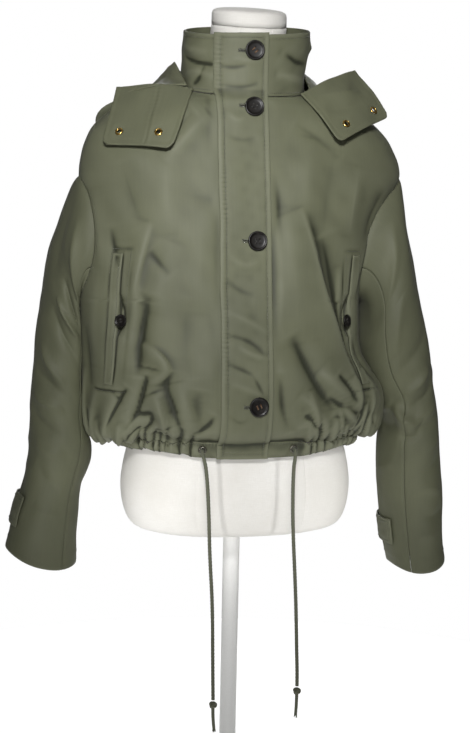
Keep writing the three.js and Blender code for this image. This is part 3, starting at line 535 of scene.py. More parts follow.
def makeStitches(name, rows, material):
    ringEnds = ((-0.5, 0.35, -0.5), (-0.3, 0.9, 0.7), (0.3, 0.9, 0.7), (0.5, 0.35, -0.5))
    cross = ((-0.5, 0.0), (0.0, 1.0), (0.5, 0.0))
    points, faces = [], []
    for path, normals, look in rows:
        lengths = np.concatenate([[0], np.cumsum(np.linalg.norm(np.diff(path, axis=0), axis=1))])
        places = np.arange(look["pitch"] / 2, lengths[-1], look["pitch"])
        if len(places) == 0:
            continue
        centre = np.stack([np.interp(places, lengths, path[:, k]) for k in range(3)], -1)
        ahead = np.stack([np.interp(places + 0.8, lengths, path[:, k]) for k in range(3)], -1)
        behind = np.stack([np.interp(places - 0.8, lengths, path[:, k]) for k in range(3)], -1)
        up = unit(np.stack([np.interp(places, lengths, normals[:, k]) for k in range(3)], -1))
        forward = unit(ahead - behind)
        sideways = unit(np.cross(forward, up))
        for c, f, s, u in zip(centre, forward, sideways, up):
            start = len(points)
            for shift, spread, rise in ringEnds:
                base = c + f * shift * look["length"] + u * rise * look["height"]
                for across, height in cross:
                    aside = s * across * look["width"] * spread
                    points.append(base + aside + u * height * look["height"] * spread)
            for ring in range(3):
                for k in range(3):
                    a, b = start + ring * 3 + k, start + ring * 3 + (k + 1) % 3
                    faces.append((a, b, b + 3, a + 3))
            faces.append((start + 2, start + 1, start))
            faces.append((start + 9, start + 10, start + 11))
    return makeMesh(name, points, faces, material)


# Camera, lights and stage

camera = {"azimuth": -13.0, "elevation": 7.0, "roll": 1.2, "distance": 2200.0, "targetZ": 690.0,
          "pictureWidth": 470, "millimetresPerPixel": 1.5, "sensor": 36.0}


def addCamera(look):
    turn, lift, roll = (math.radians(look[key]) for key in ("azimuth", "elevation", "roll"))
    back = Vector((math.sin(turn) * math.cos(lift), -math.cos(turn) * math.cos(lift), math.sin(lift)))
    level = Vector((math.cos(turn), math.sin(turn), 0))
    upright = back.cross(level)
    right = level * math.cos(roll) + upright * math.sin(roll)
    up = upright * math.cos(roll) - level * math.sin(roll)
    place = Vector((0, 0, look["targetZ"])) + back * look["distance"]
    data = bpy.data.cameras.new("photoCamera")
    data.sensor_fit = "HORIZONTAL"
    data.sensor_width = look["sensor"]
    data.lens = look["sensor"] * look["distance"] / (look["millimetresPerPixel"] * look["pictureWidth"])
    made = bpy.data.objects.new("photoCamera", data)
    axes = Matrix((right, up, back)).transposed().to_4x4()
    made.matrix_world = Matrix.Translation(place * mm) @ axes
    bpy.context.scene.collection.objects.link(made)
    bpy.context.scene.camera = made


addCamera(camera)

lights = [
    # name, place and aim in metres, width, cone in degrees, power in watts
    {"name": "keyLight", "place": (-0.4, -1.75, 1.52), "aim": (0, -0.1, 1.0),
     "size": 0.24, "spread": 43, "power": 2.2},
    {"name": "topLight", "place": (-0.2, 0.3, 2.4), "aim": (0, 0, 0.9),
     "size": 1.0, "spread": 160, "power": 1.2},
    {"name": "fillLight", "place": (-0.9, -2.2, 0.75), "aim": (-0.1, 0, 0.75),
     "size": 0.8, "spread": 50, "power": 0.6},
    {"name": "formLight", "place": (-0.1, -1.3, 0.36), "aim": (0, 0, 0.48),
     "size": 0.3, "spread": 24, "power": 0.045},
    {"name": "formSideRight", "place": (-0.85, -0.95, 0.32), "aim": (-0.09, 0, 0.52),
     "size": 0.2, "spread": 16, "power": 0.09},
    {"name": "formSideLeft", "place": (0.72, -1.08, 0.32), "aim": (0.1, 0, 0.52),
     "size": 0.2, "spread": 14, "power": 0.075},
    {"name": "backLight", "place": (0.6, 2.2, 1.5), "aim": (0, 0, 0.85),
     "size": 1.4, "spread": 160, "power": 20},
]
studio = {"seen": 1.0, "ambient": 0.085}     # the white backdrop, and the light that it gives


def addLights():
    for light in lights:
        data = bpy.data.lights.new(light["name"], "AREA")
        data.size = light["size"]
        data.energy = light["power"]
        data.spread = math.radians(light["spread"])
        made = bpy.data.objects.new(light["name"], data)
        place = Vector(light["place"])
        made.location = place
        made.rotation_euler = (place - Vector(light["aim"])).to_track_quat("Z", "Y").to_euler()
        bpy.context.scene.collection.objects.link(made)
    world = bpy.data.worlds.new("whiteStudio")
    world.use_nodes = True
    tree = world.node_tree
    background = tree.nodes["Background"]
    background.inputs["Color"].default_value = (1, 1, 1, 1)
    seen = addNode(tree, "ShaderNodeLightPath").outputs["Is Camera Ray"]
    strength = addNode(tree, "ShaderNodeMapRange", {"To Min": studio["ambient"], "To Max": studio["seen"]},
                       {"Value": seen})
    tree.links.new(strength.outputs[0], background.inputs["Strength"])
    bpy.context.scene.world = world


addLights()
bpy.context.scene.view_settings.view_transform = "Standard"


def addFloor():
    bpy.ops.mesh.primitive_circle_add(vertices=96, radius=1.0, fill_type="NGON", location=(0, 0, 0))
    floor = bpy.context.object
    floor.name = "studioFloor"
    material, _, shader = startMaterial("paleStudioPaper", {"Roughness": 0.95, "Emission Strength": 0.72})
    shader.inputs["Base Color"].default_value = linearColour("#fbfbfb")
    shader.inputs["Emission Color"].default_value = linearColour("#ffffff")
    floor.data.materials.append(material)
    floor.select_set(False)


addFloor()
print("camera, lights and floor made")


# Drawcords: each leaves its eyelet in the casing, hangs straight and ends in a knot with a short tail

cordRoutes = {
    "right": [
        (-72.7, -120, 585.8), (-73.6, -123.4, 585.2), (-74, -129, 582.5), (-72.5, -133.5, 574),
        (-70, -136, 560), (-67.5, -138.5, 530), (-65.5, -140, 490), (-64, -141, 450), (-62, -140, 420),
        (-59, -139, 380), (-57, -138, 340), (-56, -138, 300), (-55, -138, 260), (-54, -138, 224),
    ],
    "left": [
        (60.5, -123.4, 585.8), (61.2, -126.8, 585.2), (61.2, -132, 582.5), (59.5, -136, 574),
        (57.5, -138, 560), (56.5, -140, 530), (57, -141.5, 490), (59, -142, 450), (62, -141, 410),
        (65, -140, 366), (67, -139, 330), (68.5, -139, 294), (70, -139, 262), (70.5, -139, 238),
    ],
}
cordLook = {"diameter": 5.5, "strands": 4, "braidPitch": 5.2, "braidHeight": 0.085, "step": 0.85,
            "knotSize": 1.35, "knotStrand": 2.35, "tail": 34.0, "tuft": 6.0}


def braid(turns, length):
    # two sets of strands that cross each other
    slant = 2 * math.pi * length / cordLook["braidPitch"]
    turned = cordLook["strands"] * turns
    over = np.maximum(np.sin(turned + slant), np.sin(turned - slant))
    return 1 - cordLook["braidHeight"] * (1 - over)


def makeKnot(side, end):
    look = cordLook
    t = np.linspace(0, 2 * math.pi, 90)
    ring = 2 + np.cos(3 * t)
    loops = np.stack([ring * np.cos(2 * t), ring * np.sin(2 * t) * 0.9, 1.45 * np.sin(3 * t)], -1)
    turned = loops[:, [0, 2, 1]] * look["knotSize"]
    knot = tubeMesh(f"knot_{side}_lump", turned + end + (0, 0, -7.5), look["knotStrand"], 10, cordCotton,
                    lambda turns, length: braid(turns, length * 1.2))
    drop = np.linspace(0, 1, 46)
    sway = 2.2 if side == "right" else -1.0
    tail = np.stack([end[0] + sway * drop ** 2, np.full(46, end[1]), end[2] - 10 - look["tail"] * drop], -1)
    radius = look["diameter"] / 2 * mix(0.94, 0.85, drop)
    pieces = [knot, tubeMesh(f"knot_{side}_tail", tail, radius, 16, cordCotton, braid)]
    rng = np.random.default_rng(31 if side == "right" else 32)
    for _ in range(22):
        turn, spread = rng.uniform(0, 2 * math.pi), rng.uniform(0.3, 2.2)
        root = tail[-1] + (math.cos(turn) * spread, math.sin(turn) * spread, 1.0)
        tip = root + (math.cos(turn) * 0.9, math.sin(turn) * 0.9, -rng.uniform(0.5, 1.0) * look["tuft"])
        hair = np.array([root, (root + tip) / 2, tip])
        pieces.append(tubeMesh("strand", hair, [0.42, 0.36, 0.12], 5, cordCotton))
    return joinPieces(f"knotVisual_{side}", pieces)


def makeCord(side, route):
    path, length = curvePoints(route, cordLook["step"])
    cord = tubeMesh(f"drawcordVisual_{side}", path, cordLook["diameter"] / 2, 16, cordCotton, braid)
    knot = makeKnot(side, np.array(route[-1]))
    finishPiece(cord, "braided_cord", f"drawcord_{side}")
    finishPiece(knot, "braided_cord", f"knot_{side}")
    return length


for side, route in cordRoutes.items():
    print("drawcord", side, round(makeCord(side, route)), "mm")


# Body of the jacket: its rings, the folds on it and the places on its cloth

body = {"hemZ": 574, "casingHeight": 23, "neckZ": 1085, "backRise": 28, "frontNeckY": 77, "neckDepth": 167,
        "armholeBottom": 795, "armholeTop": 968, "leftRise": 8, "armholeReach": 24, "thickness": 1.3,
        "seamGap": 0.3}
bodyRings = [
    # z, right, left, front, back, power
    [574, 171, 177, 125, 125, 2.2],
    [598, 180, 183, 129, 131, 2.2],
    [606, 206, 204, 139, 142, 2.3],
    [616, 219, 213, 145, 148, 2.4],
    [632, 226, 219, 149, 151, 2.4],
    [655, 229, 220, 150, 152, 2.4],
    [685, 231, 206, 149, 151, 2.4],
    [720, 233, 186, 144, 149, 2.4],
    [780, 236, 182, 134, 144, 2.4],
    [840, 237, 186, 124, 138, 2.4],
    [900, 235, 203, 116, 132, 2.4],
    [940, 235, 222, 109, 129, 2.35],
    [970, 236, 243, 103, 125, 2.3],
    [990, 234, 243, 99, 121, 2.25],
    [1010, 228, 234, 95, 116, 2.2],
    [1030, 216, 220, 91, 110, 2.2],
    [1050, 191, 195, 87, 104, 2.2],
    [1066, 155, 159, 83, 98, 2.2],
    [1078, 116, 120, 80, 94, 2.2],
    [1085, 89, 93, 77, 90, 2.2],
]


def neckRise(y, z):
    return body["backRise"] * ease(960, body["neckZ"], z) * (y + body["frontNeckY"]) / body["neckDepth"]


def bodyBase(angle, z):
    # angle 0 is the centre front, +90 the wearer's left side and 180 the centre back
    turn = np.radians(angle)
    sine, cosine = np.sin(turn), np.cos(turn)
    power = 2 / tableValue(bodyRings, 5, z)
    half = np.where(sine < 0, tableValue(bodyRings, 1, z), tableValue(bodyRings, 2, z))
    depth = np.where(cosine > 0, tableValue(bodyRings, 3, z), tableValue(bodyRings, 4, z))
    x = half * np.sign(sine) * np.abs(sine) ** power
    y = -depth * np.sign(cosine) * np.abs(cosine) ** power
    return np.stack([x, y, z + neckRise(y, z)], -1)


def bodyNormal(angle, z):
    around = bodyBase(angle + 1.5, z) - bodyBase(angle - 1.5, z)
    upwards = bodyBase(angle, z + 3) - bodyBase(angle, z - 3)
    return unit(np.cross(around, upwards))


ringAngles = np.arange(-180, 180.25, 0.5)
ringHeights = np.arange(body["hemZ"], body["neckZ"] + 0.5, 1.0)
ringPoints = bodyBase(ringAngles[None, :], ringHeights[:, None])
ringSteps = np.linalg.norm(np.diff(ringPoints, axis=1), axis=-1)
ringAcross = np.concatenate([np.zeros((len(ringHeights), 1)), np.cumsum(ringSteps, axis=1)], axis=1)
ringAcross = ringAcross - ringAcross[:, [len(ringAngles) // 2]]


def acrossAt(angle, z):
    # mm along the cloth from the centre front
    row = np.clip(z - body["hemZ"], 0, len(ringHeights) - 1.001)
    column = np.clip((angle + 180) * 2, 0, len(ringAngles) - 1.001)
    i, j = row.astype(int), column.astype(int)
    p, q = row - i, column - j
    return mix(mix(ringAcross[i, j], ringAcross[i, j + 1], q),
               mix(ringAcross[i + 1, j], ringAcross[i + 1, j + 1], q), p)


def angleAt(across, z):
    # the angles of one row's places along the cloth
    row = int(round(np.clip(z - body["hemZ"], 0, len(ringHeights) - 1)))
    return np.interp(across, ringAcross[row], ringAngles)


# Folds on the fronts: mm from the centre front along the cloth, wearer's left positive, and height
leftFrontFolds = [
    # path, height, reach on the side towards the right and towards the left of its direction
    ([(66, 930), (80, 890), (88, 862), (101, 806), (124, 752), (148, 700), (164, 664), (166, 630)],
     10, 5, 46),
    ([(100, 890), (120, 836), (138, 770), (160, 700)], -8, 24, 13),
    ([(150, 690), (163, 664), (168, 640)], 4, 8, 16),
    ([(44, 930), (52, 830), (66, 740)], 3, 26, 30),
    ([(48, 752), (70, 714), (96, 668), (118, 640)], -7, 13, 15),
    ([(120, 694), (140, 676), (158, 650)], -5, 6, 7),
    ([(128, 650), (148, 636), (166, 622)], 5, 6, 8),
    ([(70, 640), (88, 622), (104, 606)], -4.5, 5, 5),
    ([(92, 700), (122, 676), (150, 664)], 3.5, 12, 10),
    ([(60, 668), (84, 650), (108, 618)], 3, 12, 12),
    ([(108, 664), (132, 646), (160, 634)], -3, 8, 7),
    ([(120, 1010), (106, 950), (100, 884)], -1.6, 18, 22),
    ([(84, 1030), (72, 960), (76, 900)], 2.4, 18, 20),
    ([(160, 990), (150, 940), (146, 890)], 2.6, 14, 16),
    ([(214, 960), (196, 920), (184, 880)], -2.6, 12, 14),
    ([(200, 890), (182, 850), (170, 800)], 3, 9, 14),
    ([(178, 700), (204, 668), (226, 644)], 4, 10, 12),
    ([(190, 640), (216, 628), (236, 616)], -3.5, 7, 7),
    ([(172, 742), (186, 706), (212, 672)], -3.5, 8, 9),
    ([(224, 690), (246, 650), (256, 616)], 3.5, 12, 12),
    ([(28, 980), (36, 900), (34, 820)], -1.6, 12, 14),
    ([(30, 700), (34, 650), (48, 612)], -3, 10, 12),
    ([(60, 1050), (96, 1030), (130, 1000)], -1.3, 12, 12),
    ([(56, 618), (86, 630), (110, 626)], 2.4, 9, 8),
]
rightFrontFolds = [
    ([(-150, 906), (-160, 866), (-169, 826), (-180, 796)], 3.4, 5, 20),
    ([(-152, 866), (-138, 850), (-122, 832)], -1.8, 8, 8),
    ([(-120, 880), (-136, 826), (-146, 780)], 2.2, 20, 18),
    ([(-150, 806), (-160, 774), (-168, 734), (-172, 690)], -7, 12, 12),
    ([(-170, 740), (-150, 730), (-132, 716), (-127, 700), (-138, 688), (-156, 682)], 4.6, 4, 17),
    ([(-158, 696), (-165, 668), (-171, 648), (-190, 620)], -7, 6.5, 6.5),
    ([(-126, 702), (-130, 676), (-119, 650), (-113, 628), (-97, 600)], -5, 7, 12),
    ([(-150, 668), (-138, 644), (-128, 620)], 7, 10, 12),
    ([(-182, 640), (-162, 640), (-146, 644)], -7, 6, 9),
    ([(-148, 644), (-156, 618), (-166, 598)], -6, 6, 6),
    ([(-186, 676), (-206, 650), (-226, 626)], -5, 7, 8),
    ([(-204, 660), (-222, 636), (-230, 612)], 6, 9, 11),
    ([(-170, 622), (-184, 612), (-196, 604)], -5, 4, 5),
    ([(-112, 686), (-104, 650), (-88, 614)], 3.6, 12, 16),
    ([(-84, 676), (-88, 650), (-76, 610)], -2.4, 16, 12),
    ([(-96, 800), (-104, 740), (-98, 690)], -2.4, 20, 20),
    ([(-70, 940), (-82, 860), (-86, 780)], 2, 22, 24),
    ([(-64, 1060), (-96, 1030), (-128, 990)], 2.6, 12, 14),
    ([(-84, 1062), (-116, 1034), (-150, 1010)], -2.4, 12, 10),
    ([(-190, 990), (-176, 940), (-160, 900)], -1.5, 18, 18),
    ([(-236, 950), (-226, 890), (-222, 830)], 2.6, 16, 16),
    ([(-208, 900), (-204, 868), (-196, 840)], -2, 12, 10),
    ([(-228, 840), (-242, 770), (-246, 700)], 3, 18, 18),
    ([(-262, 760), (-268, 700), (-258, 650)], -3, 14, 14),
    ([(-244, 668), (-256, 640), (-262, 616)], 3, 10, 10),
    ([(-60, 640), (-70, 622), (-86, 610)], -3, 8, 8),
    ([(-124, 1000), (-128, 940), (-124, 890)], 1.8, 18, 18),
]
# Folds on the back: mm from the centre back, wearer's left positive
backFolds = [
    ([(36, 960), (52, 880), (50, 780), (66, 690)], 5, 28, 24),
    ([(-30, 950), (-56, 860), (-62, 770), (-50, 680)], 5.5, 26, 30),
    ([(4, 900), (-4, 820), (6, 730)], -4.5, 24, 22),
    ([(110, 960), (120, 880), (136, 790), (128, 700)], -4.5, 20, 26),
    ([(-116, 950), (-130, 870), (-134, 790)], -4, 22, 20),
    ([(176, 900), (170, 820), (186, 730), (206, 660)], 5, 18, 22),
    ([(-184, 880), (-190, 800), (-182, 720), (-206, 650)], 5, 22, 18),
    ([(80, 760), (96, 700), (90, 640)], 4.5, 18, 14),
    ([(-92, 780), (-100, 710), (-118, 650)], 4, 14, 20),
    ([(20, 700), (32, 660), (26, 616)], -4.5, 11, 13),
    ([(-26, 690), (-20, 650), (-34, 612)], 4.5, 13, 11),
    ([(148, 700), (156, 660), (142, 616)], -4.5, 12, 10),
    ([(-150, 690), (-166, 650), (-158, 612)], -5, 10, 12),
    ([(60, 660), (54, 634), (66, 608)], -4, 8, 8),
    ([(-74, 660), (-80, 630), (-70, 606)], 4.5, 9, 9),
    ([(112, 670), (120, 640), (116, 608)], 4.5, 10, 9),
    ([(-120, 660), (-116, 632), (-128, 606)], -4, 8, 9),
    ([(196, 660), (204, 632), (200, 606)], -4, 8, 8),
    ([(-204, 655), (-212, 630), (-204, 604)], 4, 9, 8),
    ([(150, 1000), (120, 970), (84, 950)], -2.6, 14, 14),
    ([(-150, 1000), (-118, 975), (-80, 956)], -2.6, 14, 14),
    ([(226, 860), (240, 790), (236, 710)], -3.5, 16, 16),
    ([(-230, 870), (-244, 790), (-238, 710)], -3.5, 16, 16),
    ([(0, 690), (6, 668), (-2, 640)], 3, 9, 9),
]


def gatherFolds(first, last, seed):
    # pleats that the drawn hem throws up: uneven in spacing, length and height, some of them long
    rng = np.random.default_rng(seed)
    folds = []
    place = first
    while place < last:
        length = rng.choice([14, 22, 34, 50, 76], p=[0.26, 0.27, 0.23, 0.15, 0.09]) * rng.uniform(0.8, 1.2)
        lean = rng.uniform(-0.3, 0.3) * length
        height = rng.uniform(2.2, 4.2)
        reach = rng.uniform(2.6, 4.6)
        if rng.random() < 0.34:
            # now and then a wide lobe between the small pleats
            height, reach, length = height * 1.6, reach * 1.9, length + 14
        path = [(place - lean * 0.4, 560), (place, 590), (place + lean * 0.3, 600 + length * 0.4),
                (place + lean, 602 + length)]
        folds.append((path, height, reach, reach * rng.uniform(0.7, 1.3)))
        folds.append(([(place + reach * 1.25, 560), (place + reach * 1.3 + lean * 0.4, 602 + length * 0.5)],
                      -height * 0.9, reach * 0.5, reach * 0.5))
        place += rng.uniform(4.0, 9.0) + reach * 1.3
    return folds


frontGathers = {-1: gatherFolds(-286, -92, 11), 1: gatherFolds(82, 276, 12)}
backGathers = gatherFolds(-262, 262, 13)
flapPlace = {"right": -53, "left": 21, "middle": -16, "half": 37}


def frontRelief(across, z):
    side = np.where(across < 0, -1, 1)
    total = foldField(across, z, leftFrontFolds + rightFrontFolds + pocketFolds)
    total = total + foldField(across, z, frontGathers[-1] + frontGathers[1])
    total = total + ripple(across, z, 110, 0.9, 1) + ripple(across, z, 40, 0.16, 2)
    nearFlap = ease(14, 0, np.abs(across - flapPlace["middle"]) - flapPlace["half"])
    total = total * (1 - 0.9 * nearFlap)
    seam = np.abs(np.abs(across) - np.abs(acrossAt(side * 90.0, z)))
    return total * ease(2, 18, seam)


def backRelief(fromBack, z, seamDistance):
    total = foldField(fromBack, z, backFolds + backGathers)
    total = total + ripple(fromBack, z, 110, 0.9, 4) + ripple(fromBack, z, 40, 0.16, 5)
    return total * ease(2, 18, seamDistance)


# Places where the drawn hem pulls the blouse in: angle, half width in degrees and depth
pinches = [(-40, 9, 12), (-72, 7, 5), (50, 9, 10), (150, 10, 7), (-140, 12, 6)]


def bodyRelief(angle, z):
    angle, z = np.broadcast_arrays(np.asarray(angle, float), np.asarray(z, float))
    angle = (angle + 180) % 360 - 180
    across = acrossAt(angle, z)
    side = np.where(angle < 0, -1.0, 1.0)
    fromBack = side * (np.abs(acrossAt(side * 180, z)) - np.abs(across))
    seam = np.abs(np.abs(across) - np.abs(acrossAt(side * 90.0, z)))
    total = np.zeros(angle.shape)
    front = np.abs(angle) <= 90
    if front.any():
        total[front] = frontRelief(across[front], z[front])
    if (~front).any():
        total[~front] = backRelief(fromBack[~front], z[~front], seam[~front])
    for middle, half, depth in pinches:
        total -= depth * np.exp(-((angle - middle) / half) ** 2) * ease(598, 604, z) * ease(656, 610, z)
    return total * ease(body["neckZ"] + 1, body["neckZ"] - 8, z)


# How far the blouse hangs over its casing on each side: degrees from the centre front, and drop
blouseDrop = {-1: ([0, 26, 44, 55, 72, 95, 120, 180], [0, 0, 4, 15, 21, 17, 13, 12]),
              1: ([0, 30, 52, 64, 82, 100, 130, 180], [0, 0, 4, 14, 18, 15, 12, 12])}


def blouseSag(angle, z):
    # the full cloth above the drawn hem sinks, most at the sides
    signed = (np.asarray(angle, float) + 180) % 360 - 180
    drop = np.where(signed < 0, np.interp(-signed, *blouseDrop[-1]), np.interp(signed, *blouseDrop[1]))
    uneven = 1 + 0.1 * np.sin(np.radians(signed) * 9 + 1) + 0.08 * np.sin(np.radians(signed) * 23)
    return drop * uneven * ease(597, 609, z) * ease(672, 618, z)


def bodyPoint(angle, z, lift=0.0):
    angle, z = np.broadcast_arrays(np.asarray(angle, float), np.asarray(z, float))
    normal = bodyNormal(angle, z)
    shift = bodyRelief(angle, z) + lift
    point = bodyBase(angle, z) + normal * shift[..., None]
    point[..., 2] -= blouseSag(angle, z)
    return point


# Pockets: an upright welt on each front, its mouth a dark slit that gapes at the button

pocket = {"top": 862, "bottom": 676, "weltWidth": 15, "buttonZ": 770,
          "topAcross": {-1: -190, 1: 158}, "bottomAcross": {-1: -212, 1: 172}}


def mouthAcross(side, z):
    share = (z - pocket["bottom"]) / (pocket["top"] - pocket["bottom"])
    return mix(pocket["bottomAcross"][side], pocket["topAcross"][side], share)


def besideMouth(side, places):
    # a path given as heights and distances from the mouth, away from the centre front positive
    return [(mouthAcross(side, z) + side * shift, z) for z, shift in places]


pocketFolds = []
for side in (-1, 1):
    mouthReach = (2.2, 5.0) if side < 0 else (5.0, 2.2)
    pocketFolds += [
        # the mouth, its gape at the button, the facing, three seams and the swell in front of the mouth
        (besideMouth(side, [(z, -1.5) for z in (866, 820, 770, 720, 672)]), -3.4, *mouthReach),
        (besideMouth(side, [(806, -2), (774, -9), (744, -3)]), -8.0, 8.0, 8.0),
        (besideMouth(side, [(z, -17) for z in (866, 820, 770, 720, 672)]), -0.9, 2.5, 2.5),
        (besideMouth(side, [(z, 16.5) for z in (872, 820, 770, 720, 664)]), -1.0, 2.4, 2.4),
        (besideMouth(side, [(868, 19), (868, 0), (868, -20)]), -1.1, 2.4, 2.4),
        (besideMouth(side, [(668, 44), (668, 16), (668, -26)]), -1.3, 2.4, 2.4),
        (besideMouth(side, [(z, -24) for z in (846, 796, 756)]), 2.6, 8, 8),
    ]

# Rows and columns of the panels

rowLength = 2.9            # mm of cloth between two rows
frontColumns = 116
halfBackColumns = 76


def spacedHeights(bottom, top, angle, pitch):
    # rows of the panels, closer together where the blouse is creased
    heights = np.arange(bottom, top + 0.01, 0.25)
    path = bodyBase(np.full(len(heights), float(angle)), heights)
    density = 1 + 0.7 * ease(770, 650, heights[1:])
    lengths = np.concatenate([[0], np.cumsum(np.linalg.norm(np.diff(path, axis=0), axis=1) * density)])
    count = int(round(lengths[-1] / pitch))
    return np.interp(np.linspace(0, lengths[-1], count + 1), lengths, heights)


def spacedAcross(edge, mouth, count):
    # columns of a front, closer together beside the pocket's mouth
    places = np.linspace(0, edge, 400)
    density = 1 + 1.6 * np.exp(-((places - mouth) / 14) ** 2)
    return np.interp(np.linspace(0, 1, count + 1), np.cumsum(density) / density.sum(), places)


def armholeSpread(side, z):
    top = body["armholeTop"] + (body["leftRise"] if side > 0 else 0)
    middle = (body["armholeBottom"] + top) / 2
    height = np.minimum(1, np.abs(z - middle) / ((top - body["armholeBottom"]) / 2))
    return body["armholeReach"] * np.sqrt(1 - height ** 2)


bodyHemZ = body["hemZ"] + body["casingHeight"] + body["seamGap"]
panelHeights = spacedHeights(bodyHemZ, body["neckZ"], 60, rowLength)


def makeFront(side, name):
    angles, places = [], []
    for z in panelHeights:
        edge = acrossAt(np.array(side * (90 - armholeSpread(side, z))), np.array(z))
        row = side * 0.2 + spacedAcross(float(edge) - side * 0.2, mouthAcross(side, z), frontColumns)
        angles.append(angleAt(row, z))
        places.append(row)
    angles, places = np.array(angles), np.array(places)
    heights = np.broadcast_to(panelHeights[:, None], angles.shape)
    middle = bodyPoint(angles, heights)
    sheet = clothShell(f"{name}Cloth", middle, places, heights, body["thickness"] / 2, side)
    return settleSheet(sheet, name)


def makeBack():
    places, angles = [], []
    for z in panelHeights:
        row, turns = [], []
        for side in (-1, 1):
            ring = ringAcross[int(round(min(z, body["neckZ"]) - body["hemZ"]))]
            half = abs(float(ring[0 if side < 0 else -1]))
            edge = abs(float(acrossAt(np.array(side * (90 + armholeSpread(side, z))), np.array(z))))
            values = np.linspace(0, half - edge, halfBackColumns + 1)
            turns.append(angleAt(side * (half - values), z))
            row.append(side * values)
        places.append(np.concatenate([row[0][::-1], row[1][1:]]))
        angles.append(np.concatenate([turns[0][::-1], turns[1][1:]]))
    places, angles = np.array(places), np.array(angles)
    heights = np.broadcast_to(panelHeights[:, None], angles.shape)
    sheet = clothShell("backCloth", bodyPoint(angles, heights), places, heights, body["thickness"] / 2, -1)
    return settleSheet(sheet, "back")


def makeCasing():
    look = {"columns": 620, "rows": 13, "drawnUp": 6.0}
    heights = np.linspace(body["hemZ"], body["hemZ"] + body["casingHeight"], look["rows"] + 1)
    share = np.linspace(0, 1, look["rows"] + 1)[:, None]
    angles = np.linspace(0.15, 359.85, look["columns"] + 1)[None, :] + 0 * share
    z = np.broadcast_to(heights[:, None], angles.shape)
    signed = (angles + 180) % 360 - 180
    across = acrossAt(signed, z)
    around = np.where(signed < 0, across + 1060, across)
    drawn = ease(66, 84, np.abs(across + 5))
    # the gathers of the panels run on over the casing
    fromBack = np.where(signed < 0, -1.0, 1.0) * (480 - np.abs(across))
    reached = mix(584, 604, share) + 0 * across
    pleats = np.where(np.abs(signed) < 100, foldField(across, reached, frontGathers[-1] + frontGathers[1]),
                      foldField(fromBack, reached, backGathers))
    tunnel = np.sin(math.pi * share) * 1.6
    shift = drawn * (pleats * 1.35 + tunnel) + ripple(around, z, 24, 0.4, 22) * (0.5 + drawn)
    shift = np.maximum(shift, -4.0) + pucker((1 - share) * body["casingHeight"], around, 5, 4.6, 0.3, 23)
    middle = bodyBase(signed, z) + bodyNormal(signed, z) * shift[..., None]
    lower = (1 - share) ** 2
    rise = look["drawnUp"] * np.exp(-(((np.abs(signed) - 52) / 20) ** 2))
    middle[..., 2] += lower * (rise + drawn * (pleats * 0.8 + ripple(around, z * 0, 40, 1.6, 25)))
    sheet = clothShell("hemCasingCloth", middle, around, z, 1.0, 1)
    return settleSheet(sheet, "hem_casing")


# Collar: a stand-up ring with its top edge a little higher on the wearer's left

collarRings = [
    # height above the seam, half width, front depth, back depth, lean to the wearer's left
    [0.8, 89, 76, 88.5, 2],
    [30, 90, 75, 88, 4],
    [58, 92, 75, 88, 6],
    [86, 91, 76, 86, 8],
]
collar = {"height": 86, "tilt": 0.05, "power": 0.91, "thickness": 2.2}
collarFolds = [
    # mm from the centre front along the collar, and height above the neck seam
    ([(-124, 50), (-96, 44), (-66, 42), (-50, 44)], -2.6, 5, 6),
    ([(-130, 66), (-100, 58), (-70, 60)], 1.8, 8, 8),
    ([(-118, 20), (-92, 30), (-60, 26)], 2.2, 8, 9),
    ([(-96, 8), (-84, 22), (-76, 40)], -2.2, 6, 6),
    ([(-60, 18), (-56, 40), (-58, 66)], 1.4, 6, 6),
    ([(40, 60), (66, 46), (100, 42)], -2.4, 7, 8),
    ([(30, 30), (60, 26), (96, 16)], 2.2, 9, 9),
    ([(110, 60), (120, 36), (112, 10)], -2.4, 8, 8),
    ([(96, 70), (120, 60), (140, 64)], 2.0, 8, 8),
    ([(150, 30), (176, 44), (200, 36)], -2.4, 10, 10),
    ([(-150, 30), (-176, 44), (-206, 34)], -2.4, 10, 10),
    ([(220, 60), (250, 46), (290, 56)], 2.0, 12, 12),
    ([(240, 20), (272, 26), (300, 18)], -2.0, 10, 10),
]


def collarPoint(angle, height, lift=0.0):
    turn = np.radians(angle)
    sine, cosine = np.sin(turn), np.cos(turn)
    half = tableValue(collarRings, 1, height) + lift
    depth = lift + np.where(cosine > 0, tableValue(collarRings, 2, height),
                            tableValue(collarRings, 3, height))
    x = tableValue(collarRings, 4, height) + half * np.sign(sine) * np.abs(sine) ** collar["power"]
    y = -depth * np.sign(cosine) * np.abs(cosine) ** collar["power"]
    z = body["neckZ"] + height + body["backRise"] * (y + body["frontNeckY"]) / body["neckDepth"]
    return np.stack([x, y, z + collar["tilt"] * height / collar["height"] * x], -1)


collarAngles = np.arange(0, 360.25, 0.5)
collarLengths = np.concatenate([[0], np.cumsum(np.linalg.norm(np.diff(
    collarPoint(collarAngles, np.full(len(collarAngles), 40.0)), axis=0), axis=1))])


def edgeProfile(distance, radius=1.2):
    # a folded edge is round: the two faces run together over the last stretch
    share = np.clip(distance / radius, 0, 1)
    return np.sqrt(np.clip(1 - (1 - share) ** 2, 0.03, 1))


def seamRelief(distance, seamAt=7.0, height=0.5):
    # the turned-in cloth swells beside the edge and the stitches press a groove behind it
    return (height * np.exp(-((distance - seamAt * 0.45) / (seamAt * 0.3)) ** 2)
            - height * np.exp(-((distance - seamAt) / 1.5) ** 2))


def edgedSteps(length, pitch):
    # even steps with a few fine ones at both ends, for round edges
    inner = np.linspace(1.8, length - 1.8, max(2, int((length - 3.6) / pitch)) + 1)
    return np.concatenate([[0, 0.35, 0.9], inner, [length - 0.9, length - 0.35, length]])


